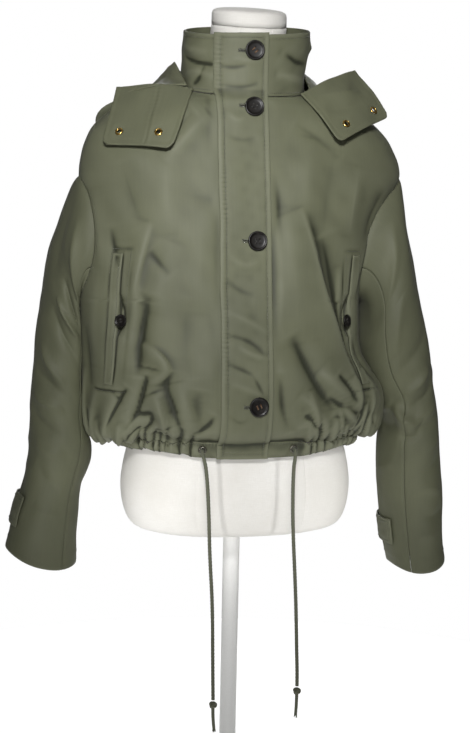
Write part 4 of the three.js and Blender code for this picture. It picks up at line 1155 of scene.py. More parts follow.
def makeCollar():
    total = collarLengths[-1]
    columns = np.linspace(0.8, total - 0.8, 210)
    rises = edgedSteps(collar["height"], 2.4)
    rises = rises[rises >= 0.8]
    across, rise = np.meshgrid(columns, rises)
    angles = np.interp(across, collarLengths, collarAngles)
    signedAcross = np.where(across > total / 2, across - total, across)
    fold = foldField(signedAcross, rise, collarFolds) * 1.4
    fold = fold + ripple(across, rise, 60, 0.5, 41) + ripple(across, rise, 22, 0.16, 42)
    nearFlap = ease(12, 0, np.abs(signedAcross - flapPlace["middle"]) - flapPlace["half"])
    fold = fold * (1 - 0.9 * nearFlap) * ease(0, 6, rise)
    top = collar["height"] - rise
    fold = fold + seamRelief(top, 6.5, 0.35) + pucker(top, across, 6, 5.2, 0.22, 43)
    base = collarPoint(angles, rise)
    normal = gridNormals(base, 1)
    middle = base + normal * fold[..., None]
    thick = collar["thickness"] / 2 * edgeProfile(top)
    sheet = clothShell("collarCloth", middle, across, rise, thick, 1)
    return settleSheet(sheet, "collar")


# Storm flap: a straight doubled band over the front opening, from the hem to above the collar

flap = {"right": -53, "left": 21, "thickness": 2.3, "lift": 3.4, "overlap": 3, "stitchIn": 9.0}
flapFolds = [
    # x across the flap, and z
    ([(-50, 1128), (-30, 1124), (-8, 1128)], -1.3, 5, 6),
    ([(-30, 1138), (-8, 1134), (16, 1136)], 0.9, 6, 6),
    ([(-46, 1100), (-20, 1096), (10, 1104)], -1.1, 5, 5),
    ([(-52, 1086), (-16, 1084), (20, 1087)], -0.9, 3, 3),
    ([(-40, 1062), (-24, 1050), (-12, 1056)], 0.7, 5, 5),
    ([(-44, 1030), (-20, 1022), (4, 1028)], -0.7, 8, 8),
    ([(-40, 862), (-20, 846), (4, 852)], 0.8, 6, 6),
    ([(-46, 830), (-26, 812), (-4, 806)], -0.9, 8, 8),
    ([(-50, 784), (-30, 778), (-6, 766), (16, 752)], 1.0, 7, 7),
    ([(-50, 752), (-20, 746), (0, 734), (12, 716)], -1.2, 7, 6),
    ([(-30, 736), (-6, 722), (18, 718)], 1.1, 4, 5),
    ([(-46, 712), (-26, 704), (-4, 694)], -1.2, 6, 6),
    ([(-40, 684), (-16, 676), (12, 664)], 1.0, 6, 6),
    ([(-8, 696), (2, 676), (10, 660)], -1.1, 4, 4),
    ([(-44, 640), (-26, 628), (-12, 634)], -0.8, 6, 6),
    ([(-46, 606), (-20, 600), (8, 604)], 0.7, 6, 6),
]


def angleOfX(x, z):
    # the angle at which the body has a given x, near the front
    angles = np.linspace(-60, 60, 481)
    values = bodyBase(angles, np.full(len(angles), float(z)))[:, 0]
    return np.interp(x, values, angles)


def angleOfCollarX(x, height):
    angles = np.linspace(-60, 60, 481)
    values = collarPoint(angles, np.full(len(angles), float(height)))[:, 0]
    return np.interp(x, values, angles)


def makeFlap():
    width = flap["left"] - flap["right"]
    xs = flap["right"] + edgedSteps(width, 2.4)
    low = np.concatenate([[body["hemZ"] - 1, body["hemZ"] - 0.6, body["hemZ"]],
                          np.arange(body["hemZ"] + 1.5, body["neckZ"] - 3, 2.2)])
    top = collar["height"] + flap["overlap"]
    high = np.concatenate([np.arange(6, top - 2, 2.2), [top - 1.2, top - 0.5, top]])
    rows = []
    for z in low:
        angles = angleOfX(xs, z)
        zs = np.full(len(xs), float(z))
        rows.append(bodyBase(angles, zs) + bodyNormal(angles, zs) * flap["lift"])
    for height in high:
        angles = angleOfCollarX(xs, height)
        rows.append(collarPoint(angles, np.full(len(xs), float(height)), flap["lift"]))
    base = np.array(rows)
    levels = np.concatenate([low, body["neckZ"] + high])
    x, z = np.meshgrid(xs, levels)
    length = np.concatenate([[0], np.cumsum(np.linalg.norm(np.diff(base[:, len(xs) // 2], axis=0), axis=1))])
    up = np.broadcast_to(length[:, None], x.shape)
    fromRight, fromLeft = x - flap["right"], flap["left"] - x
    fromBottom, fromTop = up, length[-1] - up
    fold = foldField(x, z, flapFolds) + ripple(x, up, 60, 0.3, 51) + ripple(x, up, 24, 0.07, 52)
    fold = fold + seamRelief(fromRight, flap["stitchIn"], 0.42) + seamRelief(fromLeft, 7.5, 0.42)
    fold = fold + pucker(fromRight, up, flap["stitchIn"] + 2, 6.1, 0.55, 53)
    fold = fold + pucker(fromLeft, up, 8.5, 5.2, 0.45, 54)
    fold = fold + seamRelief(fromTop, 6, 0.3) + seamRelief(fromBottom, 6, 0.3)
    wave = 0.5 * np.sin(up / 24) + 0.35 * np.sin(up / 11 + 1)
    base[..., 0] += wave * (fromRight < 30) * ease(30, 0, fromRight) * 0.7
    middle = base + gridNormals(base, 1) * fold[..., None]
    distance = np.minimum(np.minimum(fromRight, fromLeft), np.minimum(fromTop, fromBottom))
    thick = flap["thickness"] / 2 * edgeProfile(distance)
    sheet = clothShell("stormFlapCloth", middle, x, z, thick, 1)
    return settleSheet(sheet, "storm_flap")


# Sleeves: two panels each, from the armhole to the cuff

sleeve = {"frontSeam": 118, "backSeam": 242, "cuffRise": 12, "thickness": 1.3, "girth": 396, "length": 640,
          "rows": 188, "outerColumns": 98, "innerColumns": 48}
sleeveRings = {
    -1: [
        # share, outer x, outer z, inner x, inner z, middle y, half depth
        [0.00, 238, 966, 236, 800, 12, 66],
        [0.06, 247, 944, 240, 788, 14, 66],
        [0.14, 262, 903, 234, 762, 22, 66],
        [0.26, 277, 845, 222, 718, 33, 64],
        [0.40, 288, 770, 218, 664, 38, 62],
        [0.54, 297, 690, 216, 618, 36, 60],
        [0.68, 301, 616, 212, 560, 32, 58],
        [0.80, 306, 545, 227, 510, 28, 55],
        [0.90, 324, 478, 234, 455, 24, 54],
        [1.00, 339, 421, 235, 398, 20, 52],
    ],
    1: [
        [0.00, 247, 974, 205, 800, 6, 66],
        [0.06, 253, 950, 202, 786, 4, 66],
        [0.14, 258, 905, 198, 756, 0, 66],
        [0.26, 272, 838, 196, 712, -4, 64],
        [0.40, 290, 752, 204, 668, -6, 62],
        [0.54, 305, 672, 232, 622, -8, 60],
        [0.68, 318, 592, 229, 556, -8, 58],
        [0.80, 326, 512, 232, 494, -8, 55],
        [0.90, 330, 452, 240, 437, -8, 53],
        [1.00, 337, 391, 251, 384, -8, 50],
    ],
}
# Folds on the sleeves: mm round the sleeve from its outer side towards its front, and mm down from
# the armhole
sleeveFolds = {
    -1: [
        ([(60, 60), (96, 96), (128, 110)], -4, 10, 12),
        ([(20, 40), (36, 110), (40, 190)], 3, 18, 18),
        ([(70, 150), (100, 170), (126, 166)], 5, 7, 14),
        ([(62, 196), (92, 208), (124, 196)], -6, 7, 9),
        ([(50, 228), (84, 244), (120, 240)], 4, 12, 12),
        ([(-40, 90), (-50, 180), (-36, 260)], -3, 22, 22),
        ([(30, 300), (62, 324), (98, 330)], -5, 10, 12),
        ([(20, 350), (60, 356), (100, 342)], 5.5, 10, 16),
        ([(16, 392), (54, 396), (98, 380)], -5, 9, 9),
        ([(10, 424), (50, 436), (96, 430)], 5, 12, 13),
        ([(30, 470), (66, 478), (104, 462)], -4, 10, 10),
        ([(40, 500), (70, 520), (108, 524)], 4, 12, 12),
        ([(60, 556), (84, 566), (112, 560)], -3, 9, 9),
        ([(-20, 520), (10, 552), (40, 560)], 3, 12, 14),
        ([(-100, 330), (-80, 350), (-50, 356)], -4, 12, 12),
        ([(-120, 380), (-90, 400), (-56, 404)], 4, 14, 14),
        ([(-60, 440), (-40, 470), (0, 480)], -3, 14, 14),
        ([(150, 330), (180, 346), (210, 340)], -4, 12, 12),
        ([(150, 380), (184, 392), (216, 384)], 4, 12, 14),
        ([(140, 240), (176, 250), (210, 244)], -3, 14, 14),
    ],
    1: [
        ([(70, 50), (98, 84), (124, 100)], -3.5, 10, 12),
        ([(24, 30), (38, 110), (44, 200)], 2.6, 20, 18),
        ([(92, 140), (106, 190), (112, 236)], -3, 10, 12),
        ([(40, 250), (76, 268), (116, 262)], 3.5, 14, 16),
        ([(56, 306), (84, 318), (110, 322), (128, 318)], -5, 10, 9),
        ([(50, 342), (76, 352), (100, 352), (122, 344)], 5, 8, 14),
        ([(48, 374), (76, 384), (110, 376)], -4, 8, 10),
        ([(60, 406), (86, 404), (118, 396)], 3.5, 8, 9),
        ([(44, 434), (70, 446), (104, 450)], -3, 9, 10),
        ([(36, 472), (66, 474), (98, 490)], 3, 12, 12),
        ([(50, 520), (84, 508), (116, 512)], -4, 9, 11),
        ([(30, 548), (64, 560), (104, 552)], 3.5, 11, 10),
        ([(70, 590), (94, 584), (116, 590)], -2.4, 8, 8),
        ([(-20, 300), (6, 330), (30, 336)], -3.5, 14, 14),
        ([(-90, 340), (-60, 360), (-20, 364)], 4, 14, 16),
        ([(-110, 300), (-84, 316), (-50, 318)], -4, 14, 14),
        ([(-60, 480), (-20, 500), (10, 498)], 3, 16, 16),
        ([(-100, 430), (-70, 440), (-36, 432)], -3, 14, 14),
        ([(150, 320), (180, 336), (212, 330)], -4, 12, 12),
        ([(146, 370), (180, 380), (214, 372)], 4.5, 12, 14),
        ([(150, 450), (180, 462), (210, 456)], -3, 14, 14),
        ([(152, 326), (140, 360), (120, 384), (98, 394)], -12, 9, 14),
        ([(142, 398), (120, 410), (96, 414)], 6, 6, 9),
    ],
}


def armholeRim(side, ringShare, front):
    top = body["armholeTop"] + (body["leftRise"] if side > 0 else 0)
    z = mix(body["armholeBottom"], top, (1 + np.cos(ringShare * math.pi)) / 2)
    spread = np.sin(ringShare * math.pi) * body["armholeReach"]
    return z, np.where(front, side * (90 - spread), side * (90 + spread))


def sleeveBase(side, share, turn, lift=0.0):
    # turn 0 is the outer side, 90 the front, 180 the inner side and 270 the back
    share, turn = np.broadcast_arrays(np.asarray(share, float), np.asarray(turn, float))
    table = sleeveRings[side]
    outerX, outerZ, innerX, innerZ, middleY, half = (tableValue(table, c, share) for c in range(1, 7))
    outer = np.stack([side * outerX, middleY, outerZ], -1)
    inner = np.stack([side * innerX, middleY, innerZ], -1)
    centre, arm = (outer + inner) / 2, (outer - inner) / 2
    reach = np.linalg.norm(arm, axis=-1)
    arm = unit(arm)
    cosine, sine = np.cos(np.radians(turn)), np.sin(np.radians(turn))
    roundness = [np.sign(value) * np.abs(value) ** 0.9 for value in (cosine, sine)]
    point = centre + arm * ((reach + lift) * roundness[0])[..., None]
    point[..., 1] -= (half + lift) * roundness[1]
    point[..., 2] -= sleeve["cuffRise"] * ease(0.9, 1, share) * np.abs(sine) ** 2
    blend = ease(0.16, 0, share)
    fullTurn = turn % 360
    front = sine >= 0
    ringShare = np.where(front, fullTurn / 180, (360 - fullTurn) / 180)
    rimZ, rimAngle = armholeRim(side, ringShare, front)
    normal = bodyNormal(rimAngle, rimZ)
    rim = bodyBase(rimAngle, rimZ) + normal * (mix(-1.4, 10, share / 0.16) + lift)[..., None]
    return mix(point, rim, blend[..., None])


def pushOut(points, clearance):
    # moves points out until they clear the body's cloth
    x, y = points[..., 0], points[..., 1]
    z = np.minimum(body["neckZ"], points[..., 2] - neckRise(y, points[..., 2]))
    power = tableValue(bodyRings, 5, z)
    half = np.where(x < 0, tableValue(bodyRings, 1, z), tableValue(bodyRings, 2, z))
    depth = np.where(y < 0, tableValue(bodyRings, 3, z), tableValue(bodyRings, 4, z))
    across, along = (np.abs(x) / half) ** (power / 2), (np.abs(y) / depth) ** (power / 2)
    angle = np.degrees(np.arctan2(across, along))
    angle = np.where(y > 0, 180 - angle, angle)
    angle = np.where(x < 0, -angle, angle)
    skin = bodyPoint(angle, z)
    reach = np.hypot(x, y)
    limit = np.hypot(skin[..., 0], skin[..., 1]) + clearance
    factor = np.where(reach < limit, limit / np.maximum(reach, 1), 1)
    moved = points.copy()
    moved[..., 0] *= factor
    moved[..., 1] *= factor
    return moved


def sleeveRelief(side, share, turn):
    around = (np.asarray(turn, float) + 62) % 360 - 62        # -62..298 joins at the back seam
    around = around * sleeve["girth"] / 360
    down = np.asarray(share, float) * sleeve["length"]
    total = foldField(around, down, sleeveFolds[side]) + ripple(around, down, 100, 0.9, 61 + side)
    total = total + ripple(around, down, 36, 0.18, 64 + side)
    return total * ease(0, 26, down) * ease(sleeve["length"], sleeve["length"] - 26, down)


def sleevePoint(side, share, turn, lift=0.0):
    step = 6.0
    around = sleeveBase(side, share, turn + step, lift) - sleeveBase(side, share, turn - step, lift)
    along = (sleeveBase(side, np.minimum(1, share + 0.015), turn, lift)
             - sleeveBase(side, np.maximum(0, share - 0.015), turn, lift))
    normal = unit(np.cross(along, around)) * side
    base = sleeveBase(side, share, turn, lift) + normal * sleeveRelief(side, share, turn)[..., None]
    clearance = mix(-1.8, 2.2, ease(0, 0.05, share)) + lift
    return pushOut(base, clearance), normal


def makeSleevePanel(side, name, firstTurn, lastTurn, columns):
    shares = np.linspace(0, 1, sleeve["rows"]) ** 1.1
    turns = np.linspace(firstTurn, lastTurn, columns + 1)
    share, turn = np.meshgrid(shares, turns, indexing="ij")
    middle, normal = sleevePoint(side, share, turn)
    edge = np.minimum(turn - firstTurn, lastTurn - turn) * sleeve["girth"] / 360
    down = share * sleeve["length"]
    # the seams lie flat along the upper arm and show more towards the cuff
    shift = seamRelief(edge, 6.0, 0.45) + pucker(edge, down, 6, 5.6, 0.3, 71 + side)
    shift = shift * (0.15 + 0.85 * ease(300, 440, down))
    around = turn * sleeve["girth"] / 360
    shift = shift + seamRelief(down, 5.0, 0.4) + pucker(down, around, 11, 7.5, 1.0, 73 + side)
    hem = sleeve["length"] - down
    shift = shift - 0.7 * np.exp(-((hem - 20) / 1.8) ** 2) + pucker(hem, around, 20, 7.0, 0.35, 75 + side)
    middle = middle + normal * (shift * ease(0, 3, edge + 1.5))[..., None]
    middle[:, 0] += unit(middle[:, 1] - middle[:, 0]) * 0.2
    middle[:, -1] += unit(middle[:, -2] - middle[:, -1]) * 0.2
    thick = sleeve["thickness"] / 2 * edgeProfile(hem + 0.2, 1.5)
    sheet = clothShell(f"{name}Cloth", middle, around, down, thick, -side)
    return settleSheet(sheet, name)


def makeCuffStrap(side, name):
    # it runs between two shares of the sleeve's length and two turns round the cuff
    look = {"first": 0.865, "last": 0.935, "from": 30 if side < 0 else 290,
            "to": -110 if side < 0 else 150, "lift": 3.8, "thickness": 2.2}
    width = (look["last"] - look["first"]) * sleeve["length"]
    length = (look["from"] - look["to"]) * sleeve["girth"] / 360
    ups, alongs = edgedSteps(width, 2.6), edgedSteps(length, 3.0)
    share = look["first"] + ups / width * (look["last"] - look["first"])
    turn = look["from"] - alongs / length * (look["from"] - look["to"])
    share, turn = np.meshgrid(share, turn, indexing="ij")
    up, along = np.meshgrid(ups, alongs, indexing="ij")
    middle, normal = sleevePoint(side, share, turn, look["lift"])
    distance = np.minimum(np.minimum(up, width - up), np.minimum(along, length - along))
    shift = seamRelief(distance, 5.5, 0.35) + pucker(distance, along + up, 5, 5, 0.15, 78)
    middle = middle + normal * (shift + ripple(up, along, 22, 0.2, 79))[..., None]
    thick = look["thickness"] / 2 * edgeProfile(distance)
    sheet = clothShell(f"{name}Cloth", middle, along, up, thick, -side)
    return settleSheet(sheet, name)


# Pocket welts: an upright strip with its opening beside it

def makeWelt(side, name):
    look = {"lift": 1.3, "thickness": 1.5}
    width = pocket["weltWidth"]
    heights = pocket["bottom"] + edgedSteps(pocket["top"] - pocket["bottom"], 2.3)
    z, w = np.meshgrid(heights, edgedSteps(width, 1.7), indexing="ij")
    across = mouthAcross(side, z) + side * (width - w)
    angles = np.array([angleAt(row, height) for row, height in zip(across, heights)])
    fromEnds = np.minimum(z - pocket["bottom"], pocket["top"] - z)
    distance = np.minimum(fromEnds, np.minimum(w, width - w))
    gape = np.exp(-((z - pocket["buttonZ"]) / 30) ** 2) * ease(4, 15, w) * 2.2
    shift = look["lift"] + gape + seamRelief(distance, 5, 0.3) + pucker(distance, z, 5, 5.5, 0.2, 81)
    middle = bodyPoint(angles, z, shift)
    thick = look["thickness"] / 2 * edgeProfile(distance)
    sheet = clothShell(f"{name}Cloth", middle, across, z, thick, -side)
    return settleSheet(sheet, name)


# Hood: a pouch that rises from the neck seam, rolls over and hangs down the back

hoodLines = [
    # from the mouth to the neck, each: share from the centre back to the shoulder, half width, y, z
    [[0, 0, 150, 1122], [0.4, 76, 112, 1134], [0.75, 93, 36, 1138], [1, 90, -38, 1100]],
    [[0, 0, 208, 975], [0.35, 100, 194, 1000], [0.7, 146, 122, 1070], [1, 150, -36, 1096]],
    [[0, 0, 176, 846], [0.35, 104, 166, 872], [0.7, 172, 108, 990], [1, 184, -10, 1084]],
    [[0, 0, 136, 960], [0.35, 90, 134, 980], [0.7, 148, 92, 1054], [1, 164, 24, 1078]],
    [[0, 0, 97, 1104], [0.35, 58, 84, 1104], [0.7, 94, 44, 1096], [1, 106, 8, 1088]],
]
hood = {"columns": 132, "rows": 110, "thickness": 2.3, "width": 430.0, "depth": 560.0}
hoodFolds = [
    # mm across from the centre back, wearer's left positive, and mm from the mouth
    ([(-60, 40), (-50, 120), (-20, 200)], 5, 20, 24),
    ([(50, 30), (60, 120), (30, 210)], -5, 20, 20),
    ([(110, 20), (112, 90), (90, 170)], 5, 18, 20),
    ([(-120, 30), (-124, 100), (-100, 180)], -5, 18, 18),
    ([(-160, 60), (-130, 90), (-90, 110)], 4, 12, 16),
    ([(160, 60), (134, 96), (96, 120)], -4, 12, 14),
    ([(0, 60), (4, 140), (-6, 230)], -3.5, 16, 16),
    ([(-180, 20), (-170, 60), (-176, 110)], 3, 12, 12),
    ([(180, 20), (172, 70), (178, 120)], -3, 12, 12),
    ([(-40, 190), (0, 204), (50, 196)], 4, 14, 14),
    ([(-90, 230), (-40, 250), (10, 246)], -4, 14, 14),
]


def centripetalPoint(guides, down):
    # a point on a smooth curve through five guide points, spaced by the root of their distances
    gaps = [np.maximum(np.linalg.norm(guides[i + 1] - guides[i], axis=-1), 1e-3) ** 0.5 for i in range(4)]
    place = np.clip(down, 0, 1) * 4
    part = np.minimum(place.astype(int), 3)
    share = place - part
    total = np.zeros(guides[0].shape)
    for k in range(4):
        p1, p2 = guides[k], guides[k + 1]
        p0 = guides[k - 1] if k > 0 else 2 * p1 - p2
        p3 = guides[k + 2] if k < 3 else 2 * p2 - p1
        d1 = gaps[k][..., None]
        d0 = (gaps[k - 1] if k > 0 else gaps[k])[..., None]
        d2 = (gaps[k + 1] if k < 3 else gaps[k])[..., None]
        t1 = ((p1 - p0) / d0 - (p2 - p0) / (d0 + d1) + (p2 - p1) / d1) * d1
        t2 = ((p2 - p1) / d1 - (p3 - p1) / (d1 + d2) + (p3 - p2) / d2) * d1
        s = share[..., None]
        value = p1 + t1 * s + (-3 * p1 + 3 * p2 - 2 * t1 - t2) * s ** 2 + (2 * p1 - 2 * p2 + t1 + t2) * s ** 3
        total = np.where((part == k)[..., None], value, total)
    return total


def hoodBase(across, down):
    share = np.abs(across)
    sign = np.where(across < 0, -1.0, 1.0)
    guides = []
    for line in hoodLines:
        half, y, z = (tableValue(line, column, share) for column in (1, 2, 3))
        guides.append(np.stack([sign * half + 3, y, z], -1))
    return centripetalPoint(guides, down)


def clearAbove(points, clearance):
    # raises points until they lie clear above the shoulders
    points = points.copy()
    active = np.ones(points.shape[:-1], bool)
    for _ in range(60):
        lower = points.copy()
        lower[..., 2] -= clearance
        before = np.hypot(lower[..., 0], lower[..., 1])
        moved = pushOut(lower, clearance * 0.6)
        outside = (lower[..., 2] > body["neckZ"] + body["backRise"]) | (
            np.hypot(moved[..., 0], moved[..., 1]) <= before + 1e-6)
        active &= ~outside
        if not active.any():
            break
        points[..., 2] += np.where(active, 1.0, 0)
    return points


def hoodPoint(across, down):
    point = hoodBase(across, down)
    clearance = mix(6, 1.5, ease(0.86, 1, down))
    cleared = clearAbove(pushOut(point, clearance), clearance)
    return np.where((down >= 0.5)[..., None], cleared, point)


def makeHood():
    down, across = np.meshgrid(np.linspace(0, 1, hood["rows"]), np.linspace(-1, 1, hood["columns"]),
                               indexing="ij")
    base = hoodPoint(across, down)
    base = np.stack([smoothed(base[..., k], 3) for k in range(3)], -1)
    acrossLength = across * hood["width"] / 2
    downLength = down * hood["depth"]
    normal = -gridNormals(base, 1)
    fold = foldField(acrossLength, downLength, hoodFolds) + ripple(acrossLength, downLength, 70, 1.3, 91)
    fold = fold + ripple(acrossLength, downLength, 26, 0.35, 92)
    fade = ease(hood["depth"], hood["depth"] * 0.9, downLength) * ease(1.0, 0.93, np.abs(across))
    # the hem of the mouth, and a seam up the middle
    shift = fold * fade * ease(0.62, 0.5, down) + seamRelief(downLength, 22, 0.6)
    shift = shift + pucker(downLength, acrossLength, 22, 7, 0.5, 93)
    shift = shift - 0.9 * np.exp(-(acrossLength / 2.0) ** 2) * fade
    middle = base + normal * shift[..., None]
    thick = hood["thickness"] / 2 * edgeProfile(downLength + 0.2, 1.6)
    sheet = clothShell("hoodCloth", middle, acrossLength, downLength, thick, -1)
    return settleSheet(sheet, "hood")


# Hood flaps: the hood's front corners, folded down over the chest

hoodFlapCrown = 10
hoodFlaps = {
    -1: {"neck": (-79.5, -44.5, 1096), "shoulder": (-184, -2, 1096), "lowOutside": (-212, -58, 1012),
         "lowInside": (-120, -104, 1008), "swell": 17, "width": 104.0, "height": 92.0, "name": "right"},
    1: {"neck": (75.5, -54.1, 1092.5), "shoulder": (173, -2, 1133), "lowOutside": (214, -46, 1064),
        "lowInside": (121, -106, 1023), "swell": 4, "width": 112.0, "height": 88.0, "name": "left"},
}
eyeletPlaces = [(0.8, 0.8), (0.26, 0.8)]       # share across and share down a flap


def hoodFlapPoint(look, across, down):
    across, down = np.broadcast_arrays(np.asarray(across, float), np.asarray(down, float))
    corner = {key: np.array(look[key], float) for key in ("neck", "shoulder", "lowInside", "lowOutside")}
    top = mix(corner["neck"], corner["shoulder"], across[..., None])
    bottom = mix(corner["lowInside"], corner["lowOutside"], across[..., None])
    point = mix(top, bottom, down[..., None])
    swell = mix(look["swell"], hoodFlapCrown / 2, np.clip(across * 2, 0, 1))
    bulge = (hoodFlapCrown * np.sin(math.pi * across) * (1 - down * 0.5) + swell * np.sin(math.pi * down))
    point[..., 1] -= bulge * 0.7
    point[..., 2] += bulge * 0.4
    return point


def hoodFlapPlace(look, across, down):
    step = 0.05
    sideways = hoodFlapPoint(look, across + step, down) - hoodFlapPoint(look, across - step, down)
    downwards = hoodFlapPoint(look, across, down + step) - hoodFlapPoint(look, across, down - step)
    normal = unit(np.cross(sideways, downwards))
    return hoodFlapPoint(look, across, down), normal * np.where(normal[..., 1:2] > 0, -1, 1)


def makeHoodFlap(side):
    look = hoodFlaps[side]
    width, height = look["width"], look["height"]
    xs, ys = edgedSteps(width, 1.9), edgedSteps(height, 1.9)
    y, x = np.meshgrid(ys, xs, indexing="ij")
    # the lower corners are rounded
    corner = 11.0
    pull = np.clip(1 - (height - y) / corner, 0, 1)
    inset = corner * (1 - np.sqrt(np.clip(1 - pull ** 2, 0, 1))) * 0.9
    across = (inset + x * (width - 2 * inset) / width) / width
    down = y / height
    base, normal = hoodFlapPlace(look, across, down)
    distance = np.minimum(np.minimum(x, width - x), height - y)
    fold = ripple(x, y, 46, 0.9, 101 + side) + ripple(x, y, 20, 0.12, 104 + side)
    stitchIn = 6.5
    fold = fold + seamRelief(distance, stitchIn, 0.45) + pucker(distance, x + y, 6.5, 5.4, 0.35, 107 + side)
    if side < 0:
        seamX = 47 - y * 0.06
        fold = fold + 0.7 * np.exp(-((x - seamX + 3) / 2.2) ** 2) - 1.0 * np.exp(-((x - seamX) / 1.2) ** 2)
        fold = fold + pucker(np.abs(x - seamX), y, 6, 6, 0.4, 111)
    else:
        fold = fold + foldField(x, y, [([(20, 14), (50, 30), (90, 34)], 2.2, 8, 10),
                                       ([(14, 40), (44, 52), (80, 52)], -2.0, 8, 8)])
    for placeAcross, placeDown in eyeletPlaces:
        away = np.hypot(x - placeAcross * width, y - placeDown * height)
        fold = fold - 0.5 * np.exp(-((away - 7.5) / 2.5) ** 2)
    middle = base + normal * fold[..., None]
    thick = 1.1 * edgeProfile(np.minimum(distance, y))
    holes = [(hoodFlapPlace(look, np.array(a), np.array(d))[0], 4.3) for a, d in eyeletPlaces]
    sheet = clothShell(f"hoodFlapCloth_{look['name']}", middle, x, -y, thick, side, holes)
    return settleSheet(sheet, f"hood_flap_{look['name']}")


# Dress form: smooth linen over a padded torso

form = {"bottomZ": 450, "topZ": 1178, "columns": 104, "seams": (25, -25, 155, -155, 180)}
formRings = [
    # z, half width, front depth, back depth, power, shift to the wearer's left
    [450, 138, 88, 92, 2.3, 4],
    [456, 156, 103, 107, 2.3, 4],
    [472, 167, 111, 115, 2.3, 4],
    [500, 173, 115, 119, 2.3, 4],
    [528, 173, 115, 119, 2.3, 4],
    [572, 164, 112, 115, 2.3, 4],
    [620, 146, 103, 104, 2.3, 3],
    [690, 123, 88, 90, 2.3, 2],
    [760, 137, 98, 96, 2.3, 2],
    [830, 150, 106, 104, 2.3, 2],
    [880, 156, 104, 108, 2.3, 2],
    [950, 172, 92, 106, 2.3, 2],
    [1000, 188, 84, 104, 2.25, 2],
    [1020, 180, 80, 100, 2.2, 2],
    [1050, 166, 76, 93, 2.2, 2],
    [1066, 144.5, 73, 88, 2.2, 1],
    [1078, 111.5, 69, 82, 2.2, 1],
    [1086, 80, 65, 76, 2.2, 2],
    [1096, 64, 60, 66, 2.1, 4],
    [1120, 57, 54, 60, 2, 6],
    [1186, 55, 50, 56, 2, 11],
]


def formPoint(angle, z):
    sine, cosine = np.sin(np.radians(angle)), np.cos(np.radians(angle))
    power = 2 / tableValue(formRings, 4, z)
    depth = np.where(cosine > 0, tableValue(formRings, 2, z), tableValue(formRings, 3, z))
    x = tableValue(formRings, 5, z) + tableValue(formRings, 1, z) * np.sign(sine) * np.abs(sine) ** power
    y = -depth * np.sign(cosine) * np.abs(cosine) ** power
    return np.stack([x, y, z + neckRise(y, z)], -1)


def closedSkin(name, points, material):
    # a grid of closed rings with a flat lid at each end
    rows, columns = points.shape[:2]
    number = np.arange(rows * columns).reshape(rows, columns)
    following = np.roll(number, -1, axis=1)
    faces = np.stack([number[:-1], following[:-1], following[1:], number[1:]], -1).reshape(-1, 4).tolist()
    vertices = np.vstack([points.reshape(-1, 3), points[0].mean(0), points[-1].mean(0)])
    low, high = rows * columns, rows * columns + 1
    faces += [[low, b, a] for a, b in zip(number[0], following[0])]
    faces += [[high, a, b] for a, b in zip(number[-1], following[-1])]
    return makeMesh(name, vertices, faces, material)


def makeForm():
    heights = np.concatenate([form["bottomZ"] + np.array([0, 1, 2.5, 4.5, 7, 10, 14]),
                              np.arange(form["bottomZ"] + 20, form["topZ"] - 2, 8.0), [form["topZ"]]])
    angles = np.arange(0, 360, 360 / form["columns"])
    extra = [seam + shift for seam in form["seams"] for shift in (-1.2, -0.5, 0, 0.5, 1.2)]
    angles = np.unique(np.round(np.concatenate([angles, np.array(extra) % 360]), 2))
    angle, z = np.meshgrid(angles, heights)
    points = formPoint(angle, z)
    outwards = gridNormals(points, 1)
    groove = np.zeros(angle.shape)
    for seam in form["seams"]:
        gap = (angle - seam + 180) % 360 - 180
        groove += 0.9 * np.exp(-(gap / 0.45) ** 2)
    points = points - outwards * groove[..., None]
    torso = closedSkin("formTorsoCover", points, linen)
    # rings of the neck cap: share of the neck's size, and height above the neck
    capHeights = [(0.25, 0.3), (1.0, 0.8), (1.0, 8), (1.0, 15), (0.985, 18.5), (0.95, 21), (0.88, 22.8),
                  (0.76, 23.9), (0.6, 24.6), (0.4, 25.1), (0.15, 25.3)]
    ringAngle = np.arange(0, 360, 4.0)
    ring = formPoint(ringAngle, np.full(len(ringAngle), float(form["topZ"])))
    centre = ring.mean(0)
    rings = []
    for scale, height in capHeights:
        spread = centre + (ring - centre) * (scale - 0.004)
        spread[:, 2] += height
        rings.append(spread)
    cap = closedSkin("formNeckCapCover", np.array(rings), linen)
    finishPiece(torso, "form_linen", "form_torso")
    finishPiece(cap, "form_linen", "form_neck_cap")


def makeStand():
    # pole and round base, smooth and with softened edges
    stand = {"poleRadius": 12.5, "poleBottom": 9.3, "poleTop": 449.7, "baseRadius": 165.0,
             "baseThickness": 9.0, "poleEdge": 0.6, "baseEdge": 2.4}
    length = stand["poleTop"] - stand["poleBottom"]
    bpy.ops.mesh.primitive_cylinder_add(vertices=64, radius=stand["poleRadius"] * mm, depth=length * mm,
                                        location=(0, 0, (stand["poleBottom"] + length / 2) * mm))
    pole = bpy.context.object
    bpy.ops.object.transform_apply(location=True)
    bpy.ops.mesh.primitive_cylinder_add(vertices=128, radius=stand["baseRadius"] * mm,
                                        depth=stand["baseThickness"] * mm,
                                        location=(0, 0, stand["baseThickness"] / 2 * mm))
    plate = bpy.context.object
    bpy.ops.object.transform_apply(location=True)
    for piece, name, edge, node in ((pole, "standPoleSmooth", stand["poleEdge"], "stand_pole"),
                                    (plate, "standBaseSmooth", stand["baseEdge"], "stand_base")):
        piece.name = name
        soft = piece.modifiers.new("softEdge", "BEVEL")
        soft.width = edge * mm
        soft.segments = 4
        selectOnly(piece)
        bpy.ops.object.modifier_apply(modifier="softEdge")
        bpy.ops.object.shade_smooth_by_angle(angle=math.radians(40))
        piece.data.materials.append(powderCoat)
        piece.select_set(False)
        finishPiece(piece, "stand_paint", node)
